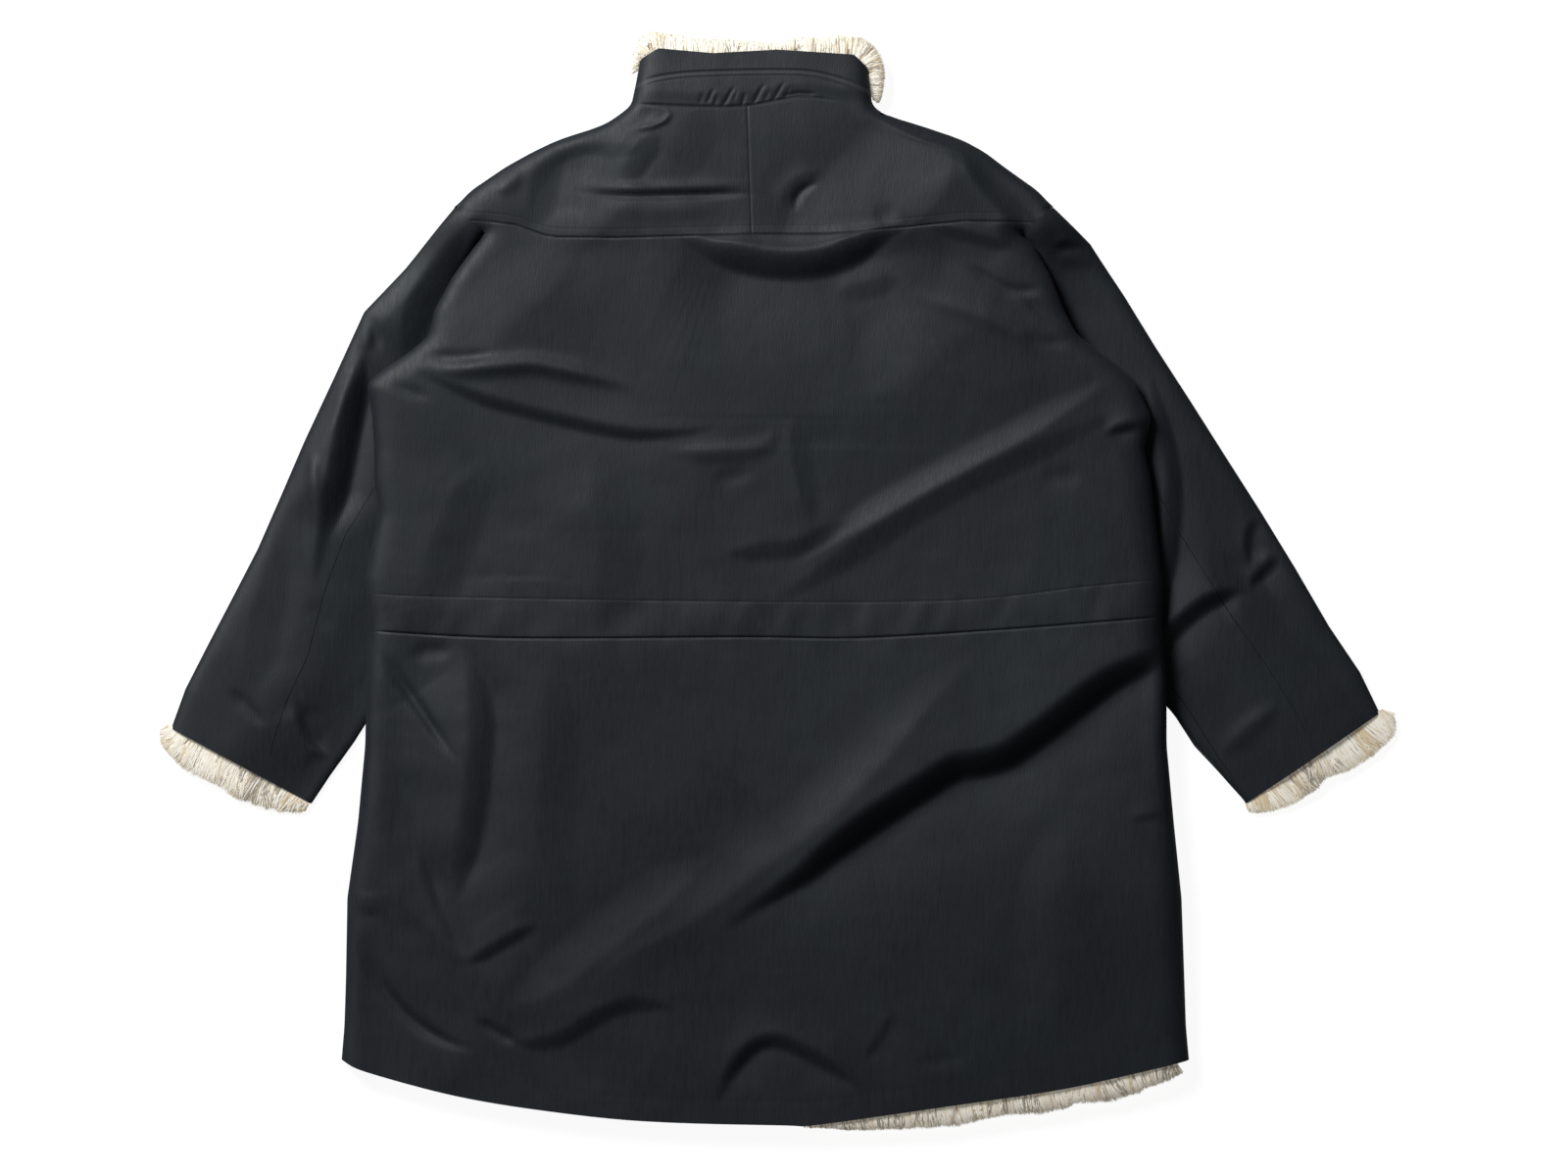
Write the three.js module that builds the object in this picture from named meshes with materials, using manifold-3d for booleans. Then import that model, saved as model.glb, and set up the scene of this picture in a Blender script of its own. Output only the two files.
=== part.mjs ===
// A hooded-collar parka laid flat on a surface with its back up.
// Sizes are millimetres, +Z is up, the collar points to +Y and the floor is z = 0.
import * as THREE from "three";
import Module from "manifold-3d";

const manifold = await Module();
manifold.setup();

// Sizes shared by the whole garment.
const CLOTH = 2; // shell cloth with its lining
const GAP = 0.3; // between two pieces that are sewn together
const UNDER_ROLL = 8; // how far the underside rolls up at a side
const REST_CLEARANCE = 1.2; // between a sleeve and the body that lies over it
const ZIP_HALF_WIDTH = 10; // closed front zip with its two tapes

// The sides of the body from hem to shoulder: the fold where the back turns under.
// The rows at 326.5 and 349.5 are the two ends of the armhole seams that show.
const BODY_EDGES = [
  { y: -452, left: -413.6, right: 383 },
  { y: -419, left: -410.8, right: 380 },
  { y: -375, left: -409.4, right: 378.5 },
  { y: -298, left: -408, right: 375.8 },
  { y: -228, left: -398, right: 368.5 },
  { y: -154, left: -391, right: 361.6 },
  { y: -95, left: -389.6, right: 361.5 },
  { y: -44, left: -386, right: 357 },
  { y: 1, left: -390.5, right: 357.4 },
  { y: 31, left: -385, right: 354 },
  { y: 62, left: -377.5, right: 350 },
  { y: 93, left: -382, right: 346.8 },
  { y: 124, left: -382, right: 340 },
  { y: 154, left: -384, right: 346.8 },
  { y: 185, left: -388.7, right: 332 },
  { y: 198, left: -374, right: 319 },
  { y: 212, left: -352, right: 301.3 },
  { y: 229, left: -331, right: 278.3 },
  { y: 254, left: -325.2, right: 264.5 },
  { y: 286, left: -307.7, right: 252.5 },
  { y: 313, left: -288, right: 236.9 },
  { y: 326.5, left: -277.4, right: 223.1 },
  { y: 349.5, left: -306.8, right: 255.3 },
  { y: 366, left: -291, right: 239.7 },
  { y: 388, left: -259, right: 209 },
  { y: 402, left: -234, right: 190.9 },
  { y: 414, left: -209, right: 169 },
  { y: 427.3, left: -167, right: 130 },
  { y: 437.5, left: -152, right: 96 },
  { y: 446, left: -141.2, right: 85.1 },
  { y: 478, left: -134.5, right: 82.3 },
  { y: 500, left: -131, right: 79 },
];
const ARMHOLE_LOW = 326.5;
const ARMHOLE_HIGH = 349.5;

// The middle of the back, which is sewn only from the yoke seam to the collar.
const CENTRE = [
  { y: -520, x: -12 },
  { y: -50, x: -12 },
  { y: 150, x: -17 },
  { y: 254, x: -28 },
  { y: 324, x: -28 },
  { y: 444, x: -32 },
  { y: 500, x: -30 },
];
const CENTRE_SHARE = 0.504; // share of the width that lies left of the middle

// Height of the side fold, of the padded middle, and how far the side rolls over.
const HEIGHTS = [
  { y: -520, edge: 9, crown: 20, roll: 26 },
  { y: -449, edge: 9, crown: 22, roll: 30 },
  { y: -300, edge: 10, crown: 30, roll: 34 },
  { y: -160, edge: 13, crown: 33, roll: 34 },
  { y: -60, edge: 17, crown: 34, roll: 34 },
  { y: 40, edge: 20, crown: 35, roll: 34 },
  { y: 120, edge: 21, crown: 36, roll: 34 },
  { y: 190, edge: 22, crown: 37, roll: 34 },
  { y: 260, edge: 23, crown: 37, roll: 34 },
  { y: 330, edge: 23, crown: 36, roll: 34 },
  { y: 400, edge: 17, crown: 33, roll: 32 },
  { y: 446, edge: 13, crown: 28, roll: 24 },
  { y: 500, edge: 12, crown: 25, roll: 20 },
];

// Lines across the body. Each row is a place on the line.
const HEM = [
  { x: -414, y: -449.4 },
  { x: -388.7, y: -461.4 },
  { x: -306, y: -483.5 },
  { x: -223, y: -497.3 },
  { x: -126.5, y: -507.4 },
  { x: 2.3, y: -511.1 },
  { x: 32.7, y: -510.6 },
  { x: 141, y: -495.4 },
  { x: 253.5, y: -478.9 },
  { x: 318, y: -465.5 },
  { x: 383, y: -450 },
];
const WAIST_SEAM = [
  { x: -390, y: -47 },
  { x: -255, y: -53.8 },
  { x: -34, y: -52.9 },
  { x: 71, y: -53.8 },
  { x: 212, y: -45.5 },
  { x: 360, y: -33.6 },
];
const CHANNEL_LINE = [
  { x: -391, y: -9.7 },
  { x: -335, y: -14.7 },
  { x: -34, y: -19.8 },
  { x: 162, y: -18.4 },
  { x: 282, y: -6 },
  { x: 358, y: 1.4 },
];
const YOKE_SEAM = [
  { x: -290, y: 337 },
  { x: -268, y: 335.3 },
  { x: -247, y: 332.6 },
  { x: -217, y: 321.5 },
  { x: -156, y: 320.6 },
  { x: -28, y: 324.3 },
  { x: 39, y: 324.3 },
  { x: 109, y: 329.8 },
  { x: 172, y: 336.3 },
  { x: 240, y: 335.3 },
];
const COLLAR_SEAM = [
  { x: -141, y: 446.7 },
  { x: -74, y: 444 },
  { x: -32.7, y: 444.8 },
  { x: 1, y: 451 },
  { x: 27, y: 453 },
  { x: 86, y: 444 },
];
const COLLAR_ZIP_LOW = [
  { x: -138, y: 461 },
  { x: -115, y: 467.5 },
  { x: -74, y: 472 },
  { x: 14, y: 473.3 },
  { x: 52, y: 467 },
  { x: 84, y: 455 },
];
const COLLAR_ZIP_HIGH = [
  { x: -138, y: 465 },
  { x: -115, y: 472 },
  { x: -74, y: 476.4 },
  { x: 14, y: 477.7 },
  { x: 52, y: 471.2 },
  { x: 84, y: 459.5 },
];
const COLLAR_TOP = [
  { x: -134, y: 488 },
  { x: -115.5, y: 499 },
  { x: -64, y: 494.5 },
  { x: -4, y: 497.8 },
  { x: 68, y: 493.1 },
  { x: 83, y: 479 },
];

// The right shoulder seam, behind which a strip of the right front shows.
const SHOULDER_SEAM = [
  { y: 402, x: 190.5 },
  { y: 404, x: 184 },
  { y: 413, x: 148 },
  { y: 422, x: 120 },
  { y: 437, x: 92.5 },
];

// Large folds of the back: a trough has a height below zero. Rows of `line` are x, y.
const BODY_FOLDS = [
  { name: "left side trough", height: -4, width: 9, line: [[-384, -60], [-353, -87], [-309, -163]] },
  { name: "left skirt trough", height: -9, width: 17, line: [[-297, -72], [-276, -120], [-275, -200], [-309, -295]] },
  { name: "left skirt swell", height: 5, width: 34, line: [[-225, -95], [-205, -190], [-225, -290]] },
  { name: "left edge trough", height: -4, width: 15, line: [[-378, -164], [-360, -235], [-342, -305]] },
  { name: "left low bend", height: -6, width: 14, line: [[-328, -287], [-314, -337], [-297, -360], [-240, -326]] },
  { name: "left hem curl", height: -7, width: 13, line: [[-402, -286], [-391, -347], [-339, -422], [-261, -470]] },
  { name: "hem trough", height: -6, width: 13, line: [[-275, -414], [-237, -436], [-162, -404], [-114, -401]] },
  { name: "hem arch", height: -5, width: 13, line: [[-57, -478], [-30, -438], [18, -439], [60, -465]] },
  { name: "long diagonal trough", height: -11, width: 15, line: [[345, -66], [282, -98], [212, -158], [141, -185], [36, -260], [-27, -305]] },
  { name: "long diagonal ridge", height: 8, width: 19, line: [[218, -66], [141, -129], [71, -179], [-34, -256], [-131, -312], [-163, -356]] },
  { name: "trough under yoke", height: -6, width: 13, line: [[-85, 318], [-34, 304], [30, 297], [109, 318]] },
  { name: "left armpit ridge", height: 4, width: 14, line: [[-326, 203], [-247, 205], [-161, 190]] },
  { name: "left armpit trough", height: -6, width: 13, line: [[-326, 184], [-277, 175], [-235, 154], [-171, 146], [-91, 139]] },
  { name: "long right ridge", height: 5, width: 17, line: [[301, 184], [240, 151], [149, 105], [26, 23]] },
  { name: "long right trough", height: -5, width: 16, line: [[311, 150], [252, 118], [160, 70], [40, -2]] },
  { name: "right armpit trough", height: -5, width: 12, line: [[195, 284], [218, 270], [258, 240]] },
  { name: "left side bend", height: -4, width: 17, line: [[-278, 102], [-296, 41], [-314, 2]] },
  { name: "left yoke trough", height: -5, width: 12, line: [[-190, 368], [-155, 362], [-80, 363], [-31, 371]] },
  { name: "left neck hollow", height: -4, width: 12, line: [[-183, 398], [-131, 404], [-110, 412]] },
  { name: "right yoke bend", height: -4, width: 13, line: [[9, 335], [14, 359], [46, 380]] },
];

// Large folds of the two sleeves.
const SLEEVE_FOLDS = [
  { name: "left armhole trough", height: -5, width: 11, line: [[-284, 331], [-308, 300], [-335, 258]] },
  { name: "left long trough", height: -6, width: 17, line: [[-395, 203], [-411, 143], [-420, 42]] },
  { name: "left elbow ridge", height: 3, width: 15, line: [[-455, 60], [-480, -10], [-505, -70]] },
  { name: "left cuff bend", height: -3, width: 12, line: [[-456, -117], [-449, -145], [-430, -161]] },
  { name: "right armhole trough", height: -4, width: 11, line: [[255, 291], [301, 224], [350, 163]] },
  { name: "right long trough", height: -5, width: 15, line: [[378, 117], [376, 40], [366, -22]] },
  { name: "right elbow ridge", height: 3, width: 15, line: [[430, 60], [470, -20], [500, -80]] },
  { name: "right low bend", height: -4, width: 13, line: [[361, -48], [395, -32], [421, -15]] },
];

// Each sleeve from armhole to cuff, a row for a ring. The first seam is on the upper face;
// the second is counted on past 1 round the inner edge when it lies on the underside.
const LEFT_RINGS = [
  { outer: [-306.8, 349.5], inner: [-292, 212], seam: 0.66, second: 1.25 },
  { outer: [-353.7, 293], inner: [-314, 188], seam: 0.68, second: 1.25 },
  { outer: [-392.4, 252.5], inner: [-327, 150], seam: 0.68, second: 1.25 },
  { outer: [-420, 192], inner: [-331, 108], seam: 0.66, second: 1.25 },
  { outer: [-448.5, 131], inner: [-338, 60], seam: 0.6, second: 1.25 },
  { outer: [-470, 81], inner: [-348, 8], seam: 0.5, second: 1.25 },
  { outer: [-492.3, 30], inner: [-362, -48], seam: 0.49, second: 1.25 },
  { outer: [-515, -14], inner: [-383, -122], seam: 0.53, second: 1.25 },
  { outer: [-538, -58], inner: [-402, -152], seam: 0.55, second: 1.25 },
  { outer: [-560.3, -101.7], inner: [-425, -184], seam: 0.61, second: 1.25 },
  { outer: [-573.6, -138.5], inner: [-442.1, -209.8], seam: 0.678, second: 1.25 },
];
const RIGHT_RINGS = [
  { outer: [255.3, 349.5], inner: [240, 212], seam: 0.62, second: 0.84 },
  { outer: [290, 316], inner: [262, 188], seam: 0.64, second: 0.84 },
  { outer: [322, 268], inner: [285, 150], seam: 0.62, second: 0.85 },
  { outer: [352, 219], inner: [297, 108], seam: 0.6, second: 0.86 },
  { outer: [385, 168], inner: [303, 60], seam: 0.55, second: 0.88 },
  { outer: [418, 116], inner: [310, 8], seam: 0.5, second: 0.92 },
  { outer: [450, 66], inner: [322, -48], seam: 0.45, second: 0.9 },
  { outer: [483, 12], inner: [342, -100], seam: 0.42, second: 0.89 },
  { outer: [515, -43], inner: [368, -130], seam: 0.41, second: 0.9 },
  { outer: [544, -86], inner: [405, -177], seam: 0.43, second: 0.935 },
  { outer: [562.6, -124.5], inner: [434.7, -211.1], seam: 0.47, second: 0.943 },
];

const SLEEVES = [
  {
    side: "left",
    rings: LEFT_RINGS,
    armhole: [[-306.8, 349.5], [-277.4, 326.5], [-262, 285], [-272, 240], [-292, 212]],
    facing: -1,
  },
  {
    side: "right",
    rings: RIGHT_RINGS,
    armhole: [[255.3, 349.5], [223.1, 326.5], [208, 285], [218, 240], [240, 212]],
    facing: 1,
  },
];
const SLEEVE = {
  innerHeight: 6,
  outerRoll: 24,
  innerRoll: 8,
  spread: 130, // from the thin inner edge to the full height
  armholeGap: 0.5,
};
const SLEEVE_CROWN = [
  { y: -215, crown: 16 },
  { y: -100, crown: 18 },
  { y: 150, crown: 18 },
  { y: 250, crown: 16 },
  { y: 350, crown: 15 },
];

// small helpers

const mix = (a, b, t) => a + (b - a) * t;
const clamp = (t) => Math.min(1, Math.max(0, t));

function ease(from, to, at) {
  const t = clamp((at - from) / (to - from));
  return t * t * (3 - 2 * t);
}

// A quarter round that stands up at the edge and is flat from `radius` on.
function roundOver(distance, radius) {
  return Math.sqrt(1 - (1 - clamp(distance / radius)) ** 2);
}

// A column of a table whose rows go up in `key`, straight between the rows.
function read(rows, key, column, at) {
  let i = 1;
  while (i < rows.length - 1 && at > rows[i][key]) i++;
  const a = rows[i - 1];
  const b = rows[i];
  return mix(a[column], b[column], clamp((at - a[key]) / (b[key] - a[key])));
}

// The same column with the corners at its rows taken off.
function readSoftly(rows, key, column, at, reach = 30) {
  const steps = [-1, -0.5, 0, 0.5, 1];
  const sum = steps.reduce((s, step) => s + read(rows, key, column, at + step * reach), 0);
  return sum / steps.length;
}

// The nearest place on a line of points: its distance and its share of the length.
function nearest(line, x, y) {
  let best = Infinity;
  let along = 0;
  let length = 0;
  for (let i = 1; i < line.length; i++) {
    const [ax, ay] = line[i - 1];
    const [bx, by] = line[i];
    const size = Math.hypot(bx - ax, by - ay);
    const t = clamp(((x - ax) * (bx - ax) + (y - ay) * (by - ay)) / (size * size));
    const distance = Math.hypot(x - mix(ax, bx, t), y - mix(ay, by, t));
    if (distance < best) {
      best = distance;
      along = length + t * size;
    }
    length += size;
  }
  return { distance: best, along: along / length };
}

function isInside(loop, x, y) {
  let inside = false;
  loop.forEach(([ax, ay], i) => {
    const [bx, by] = loop[(i + 1) % loop.length];
    if (ay > y !== by > y && x < mix(ax, bx, (y - ay) / (by - ay))) inside = !inside;
  });
  return inside;
}

function pointAlong(line, share) {
  const sizes = line.slice(1).map(([x, y], i) => Math.hypot(x - line[i][0], y - line[i][1]));
  let left = clamp(share) * sizes.reduce((a, b) => a + b, 0);
  let i = 0;
  while (i < sizes.length - 1 && left > sizes[i]) left -= sizes[i++];
  const t = left / sizes[i];
  return [mix(line[i][0], line[i + 1][0], t), mix(line[i][1], line[i + 1][1], t)];
}

// Soft troughs and ridges that fade out at both ends of their line.
function foldHeight(folds, x, y) {
  let height = 0;
  for (const fold of folds) {
    const { distance, along } = nearest(fold.line, x, y);
    if (distance > 3 * fold.width) continue;
    const fade = ease(0, 0.22, along) * ease(1, 0.78, along);
    height += fold.height * fade * Math.exp(-((distance / fold.width) ** 2));
  }
  return height;
}

// sleeves: plan and height

for (const sleeve of SLEEVES) {
  sleeve.outerLine = sleeve.rings.map((ring) => ring.outer);
  sleeve.innerLine = sleeve.rings.map((ring) => ring.inner);
  sleeve.loop = [
    ...sleeve.outerLine,
    ...[...sleeve.innerLine].reverse(),
    ...sleeve.armhole.slice(1, -1).reverse(),
  ];
}

// Sleeve height before its edges are rolled under: thin at the inner edge.
function sleeveSwell(sleeve, x, y) {
  const inner = nearest(sleeve.innerLine, x, y).distance;
  const crown = readSoftly(SLEEVE_CROWN, "y", "crown", y);
  return mix(SLEEVE.innerHeight, crown, ease(0, SLEEVE.spread, inner));
}

function sleeveHeights(sleeve, x, y) {
  const outer = nearest(sleeve.outerLine, x, y).distance;
  const inner = nearest(sleeve.innerLine, x, y).distance;
  const swell = sleeveSwell(sleeve, x, y);
  const middle = 0.45 * swell;
  const over = Math.min(roundOver(outer, SLEEVE.outerRoll), roundOver(inner, SLEEVE.innerRoll));
  const under = Math.min(roundOver(outer, 11), roundOver(inner, 6));
  const folds = foldHeight(SLEEVE_FOLDS, x, y) * ease(0, 22, Math.min(outer, inner));
  return { top: mix(middle, swell, over) + folds, bottom: middle * (1 - under) };
}

// A place on a sleeve seen from above: `along` runs from armhole to cuff in rings,
// `across` from the outer edge to the inner one.
function sleevePlan(sleeve, along, across) {
  const rings = sleeve.rings;
  const i = Math.min(rings.length - 2, Math.floor(along));
  const t = along - i;
  const outer = rings[i].outer.map((v, k) => mix(v, rings[i + 1].outer[k], t));
  const inner = rings[i].inner.map((v, k) => mix(v, rings[i + 1].inner[k], t));
  const [bendX, bendY] = pointAlong(sleeve.armhole, across);
  const [startX, startY] = sleeve.armhole[0];
  const [endX, endY] = sleeve.armhole[sleeve.armhole.length - 1];
  const bend = 1 - clamp(along / 3);
  return [
    mix(outer[0], inner[0], across) + bend * (bendX - mix(startX, endX, across)),
    mix(outer[1], inner[1], across) + bend * (bendY - mix(startY, endY, across)),
  ];
}

// body: plan and height

// How high the underside of the body is lifted by a sleeve that lies below it.
function liftAt(x, y) {
  let lift = 0;
  for (const sleeve of SLEEVES) {
    const closed = [...sleeve.loop, sleeve.loop[0]];
    const distance = nearest(closed, x, y).distance;
    if (distance > 45 && !isInside(sleeve.loop, x, y)) continue;
    const signed = isInside(sleeve.loop, x, y) ? distance : -distance;
    const ridge = Math.max(0, foldHeight(SLEEVE_FOLDS, x, y));
    const full = sleeveSwell(sleeve, x, y) + ridge + REST_CLEARANCE;
    lift = Math.max(lift, full * ease(-42, -14, signed));
  }
  return lift;
}

const sideLines = ["left", "right"].flatMap((side) => {
  const points = BODY_EDGES.map((row) => [row[side], row.y]);
  return [
    points.filter(([, y]) => y <= ARMHOLE_LOW),
    points.filter(([, y]) => y >= ARMHOLE_HIGH),
  ];
});

function edgeDistance(x, y) {
  return Math.min(...sideLines.map((line) => nearest(line, x, y).distance));
}

// The waist channel stands up a little between its two lines of sewing.
function channelHeight(x, y) {
  const low = read(WAIST_SEAM, "x", "y", x);
  const high = read(CHANNEL_LINE, "x", "y", x);
  const t = (y - low) / (high - low);
  const puff = t > 0 && t < 1 ? 2.4 * Math.sin(Math.PI * t) ** 0.6 : 0;
  const dip = -1.2 * Math.exp(-(((y - low) / 6) ** 2)) - 0.8 * Math.exp(-(((y - high) / 5) ** 2));
  return puff + dip;
}

function yokeSeamDip(x, y) {
  const seam = read(YOKE_SEAM, "x", "y", x);
  const middle = read(CENTRE, "y", "x", y);
  const across = -1.2 * Math.exp(-(((y - seam) / 6) ** 2));
  const down = y > seam && y < 446 ? -1 * Math.exp(-(((x - middle) / 5) ** 2)) : 0;
  return across + down;
}

function backHeight(x, y) {
  const distance = edgeDistance(x, y);
  const edge = readSoftly(HEIGHTS, "y", "edge", y) + 0.2;
  const crown = readSoftly(HEIGHTS, "y", "crown", y);
  const roll = readSoftly(HEIGHTS, "y", "roll", y);
  const relief = foldHeight(BODY_FOLDS, x, y) + channelHeight(x, y) + yokeSeamDip(x, y);
  return mix(edge, crown, roundOver(distance, roll)) + relief * ease(0, 26, distance);
}

function frontHeight(x, y) {
  const edge = readSoftly(HEIGHTS, "y", "edge", y) - 0.2;
  return mix(edge, liftAt(x, y), roundOver(edgeDistance(x, y), UNDER_ROLL));
}

// Where a share of the width falls at a height on the body.
function across(y, share) {
  const left = read(BODY_EDGES, "y", "left", y);
  const right = read(BODY_EDGES, "y", "right", y);
  const middle = read(CENTRE, "y", "x", y);
  if (share <= CENTRE_SHARE) return mix(left, middle, share / CENTRE_SHARE);
  return mix(middle, right, (share - CENTRE_SHARE) / (1 - CENTRE_SHARE));
}

// Where a line across the body is crossed by a column of points.
function lineAt(line, column) {
  let y = line[0].y;
  for (let i = 0; i < 12; i++) y = read(line, "x", "y", column(y));
  return y;
}

// solids

function meshOf(name, positions, triangles) {
  const geometry = new THREE.BufferGeometry();
  geometry.setAttribute("position", new THREE.Float32BufferAttribute(positions, 3));
  geometry.setIndex(triangles);
  const mesh = new THREE.Mesh(geometry);
  mesh.name = name;
  return mesh;
}

// A cloth wall: an outer face given by point(u, v) and an inner face one thickness inside.
function sheet(name, point, us, vs, facing) {
  const step = 1e-5;
  const outer = [];
  const inner = [];
  for (const v of vs)
    for (const u of us) {
      const at = point(u, v);
      const du = point(Math.min(u + step, us.at(-1)), v).sub(point(Math.max(u - step, us[0]), v));
      const dv = point(u, Math.min(v + step, vs.at(-1))).sub(point(u, Math.max(v - step, vs[0])));
      const normal = du.cross(dv).normalize().multiplyScalar(facing);
      outer.push(at);
      inner.push(at.clone().addScaledVector(normal, -CLOTH));
    }
  const count = outer.length;
  const points = [...outer, ...inner];
  const triangles = [];
  const face = (a, b, c) => triangles.push(...(facing > 0 ? [a, b, c] : [a, c, b]));
  const width = us.length;
  for (let j = 0; j < vs.length - 1; j++)
    for (let i = 0; i < width - 1; i++) {
      const a = j * width + i;
      const [b, c, d] = [a + 1, a + width + 1, a + width];
      const straight = points[a].distanceTo(points[c]) <= points[b].distanceTo(points[d]);
      const pair = straight ? [[a, b, c], [a, c, d]] : [[a, b, d], [b, c, d]];
      for (const [p, q, r] of pair) {
        face(p, q, r);
        face(p + count, r + count, q + count);
      }
    }
  const border = [];
  for (let i = 0; i < width - 1; i++) border.push([i, i + 1]);
  for (let j = 0; j < vs.length - 1; j++)
    border.push([(j + 1) * width - 1, (j + 2) * width - 1]);
  for (let i = width - 1; i > 0; i--)
    border.push([(vs.length - 1) * width + i, (vs.length - 1) * width + i - 1]);
  for (let j = vs.length - 1; j > 0; j--) border.push([j * width, (j - 1) * width]);
  for (const [p, q] of border) {
    face(q, p, p + count);
    face(q, p + count, q + count);
  }
  return meshOf(name, points.flatMap((p) => p.toArray()), triangles);
}

// A solid run of pile through sections with the same number of points each.
function loft(name, sections) {
  const size = sections[0].length;
  const triangles = [];
  for (let j = 0; j < sections.length - 1; j++)
    for (let i = 0; i < size; i++) {
      const a = j * size + i;
      const b = j * size + ((i + 1) % size);
      triangles.push(a, b, b + size, a, b + size, a + size);
    }
  const last = (sections.length - 1) * size;
  for (let i = 1; i < size - 1; i++) {
    triangles.push(0, i + 1, i);
    triangles.push(last, last + i, last + i + 1);
  }
  const points = sections.flat();
  if (signedVolume(points, triangles) < 0) triangles.reverse();
  return meshOf(name, points.flatMap((p) => p.toArray()), triangles);
}

function signedVolume(points, triangles) {
  let volume = 0;
  for (let i = 0; i < triangles.length; i += 3) {
    const [a, b, c] = [0, 1, 2].map((k) => points[triangles[i + k]]);
    volume += a.dot(b.clone().cross(c)) / 6;
  }
  return volume;
}

// A section of pile: it fills a mouth `depth` deep and stands `proud` of it.
// The pile swells past the cloth once it is outside.
const PILE_PROFILE = [
  { share: 0, fill: 0.55 },
  { share: 0.14, fill: 1 },
  { share: 0.52, fill: 1 },
  { share: 0.8, fill: 0.92 },
  { share: 1, fill: 0.42 },
];
const PILE_SWELL = 1.8;

function pileSection({ x, y, angle, depth, proud, low, high }) {
  const directionX = Math.cos((angle * Math.PI) / 180);
  const directionY = Math.sin((angle * Math.PI) / 180);
  const middle = (low + high) / 2;
  const place = ({ share, fill }, up) => {
    const out = mix(-depth, proud, share);
    const half = ((high - low) / 2 + PILE_SWELL * ease(2, 7, out)) * fill;
    const z = Math.max(0.3, middle + up * half);
    return new THREE.Vector3(x + directionX * out, y + directionY * out, z);
  };
  const upper = PILE_PROFILE.map((row) => place(row, 1));
  const lower = [...PILE_PROFILE].reverse().map((row) => place(row, -1));
  return [...upper, ...lower];
}

// columns and rows of points

const EDGE_SHARES = [0, 0.002, 0.008, 0.019, 0.036];
const COLUMNS_A_SIDE = 13;

function evenly(from, to, count) {
  return Array.from({ length: count + 1 }, (_, i) => mix(from, to, i / count));
}

const COLUMNS = [
  ...EDGE_SHARES.slice(0, -1),
  ...evenly(0.036, CENTRE_SHARE, COLUMNS_A_SIDE),
  ...evenly(CENTRE_SHARE, 0.964, COLUMNS_A_SIDE).slice(1),
  ...EDGE_SHARES.slice(0, -1).reverse().map((share) => 1 - share),
];
const LEFT_COLUMNS = COLUMNS.filter((share) => share <= CENTRE_SHARE);
const RIGHT_COLUMNS = COLUMNS.filter((share) => share >= CENTRE_SHARE);

// A piece of the back between two lines across it.
function backPiece(name, low, high, columns, rows, options = {}) {
  const { lowGap = GAP / 2, highGap = GAP / 2, column = across, middleGap = 0 } = options;
  const point = (share, v) => {
    const place = (y) => column(y, share);
    const y = mix(lineAt(low, place) + lowGap, lineAt(high, place) - highGap, v);
    const x = place(y) + middleGap;
    return new THREE.Vector3(x, y, backHeight(x, y));
  };
  return sheet(name, point, columns, rows, 1);
}

// A share of the width held a little short of the centre seam or the armhole seam.
function yokeColumn(side) {
  return (y, share) => {
    const x = across(y, share);
    const inset = SLEEVE.armholeGap * ease(ARMHOLE_HIGH + 6, ARMHOLE_HIGH - 2, y);
    if (side === "left") return x + inset * ease(0.06, 0, share) - (GAP / 2) * ease(0.44, 0.504, share);
    const seam = y > 402 && y < 440 ? read(SHOULDER_SEAM, "y", "x", y) : Infinity;
    const edge = read(BODY_EDGES, "y", "right", y);
    const strip = Math.max(0, edge - seam + (seam < edge ? GAP : 0));
    const t = (share - CENTRE_SHARE) / (1 - CENTRE_SHARE);
    return x - strip * t - inset * ease(0.94, 1, share) + (GAP / 2) * ease(0.57, 0.504, share);
  };
}

const SKIRT_ROWS = [0, ...evenly(0.02, 0.975, 16), 1];
const BODY_ROWS = [0, 0.045, 0.095, ...evenly(0.14, 0.945, 14), 0.9755, 1];
const SHOULDER_ROWS = [0.63, 0.7, 0.77, 0.83, 0.88, 0.93];
const YOKE_ROWS = [0, 0.05, 0.12, 0.21, 0.33, 0.45, 0.56, ...SHOULDER_ROWS, 1];

const backPieces = [
  backPiece("back_skirt", HEM, WAIST_SEAM, COLUMNS, SKIRT_ROWS, { lowGap: 0 }),
  backPiece("back_body", WAIST_SEAM, YOKE_SEAM, COLUMNS, BODY_ROWS),
  backPiece("back_yoke_left", YOKE_SEAM, COLLAR_SEAM, LEFT_COLUMNS, YOKE_ROWS, {
    column: yokeColumn("left"),
  }),
  backPiece("back_yoke_right", YOKE_SEAM, COLLAR_SEAM, RIGHT_COLUMNS, YOKE_ROWS, {
    column: yokeColumn("right"),
  }),
  backPiece("collar_lower", COLLAR_SEAM, COLLAR_ZIP_LOW, COLUMNS, [0, 0.35, 1]),
  backPiece("collar_zip", COLLAR_ZIP_LOW, COLLAR_ZIP_HIGH, COLUMNS, [0, 1]),
  backPiece("collar_upper", COLLAR_ZIP_HIGH, COLLAR_TOP, COLUMNS, [0, 0.5, 1], { highGap: 0 }),
];

// The underside: two fronts and the closed zip between them, flat on the floor.
function frontPiece(name, low, high, column, columns, rows) {
  const point = (share, v) => {
    const place = (y) => column(y, share);
    const y = mix(lineAt(low, place), lineAt(high, place) - GAP, v);
    const x = place(y);
    return new THREE.Vector3(x, y, frontHeight(x, y));
  };
  return sheet(name, point, columns, rows, -1);
}

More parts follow.
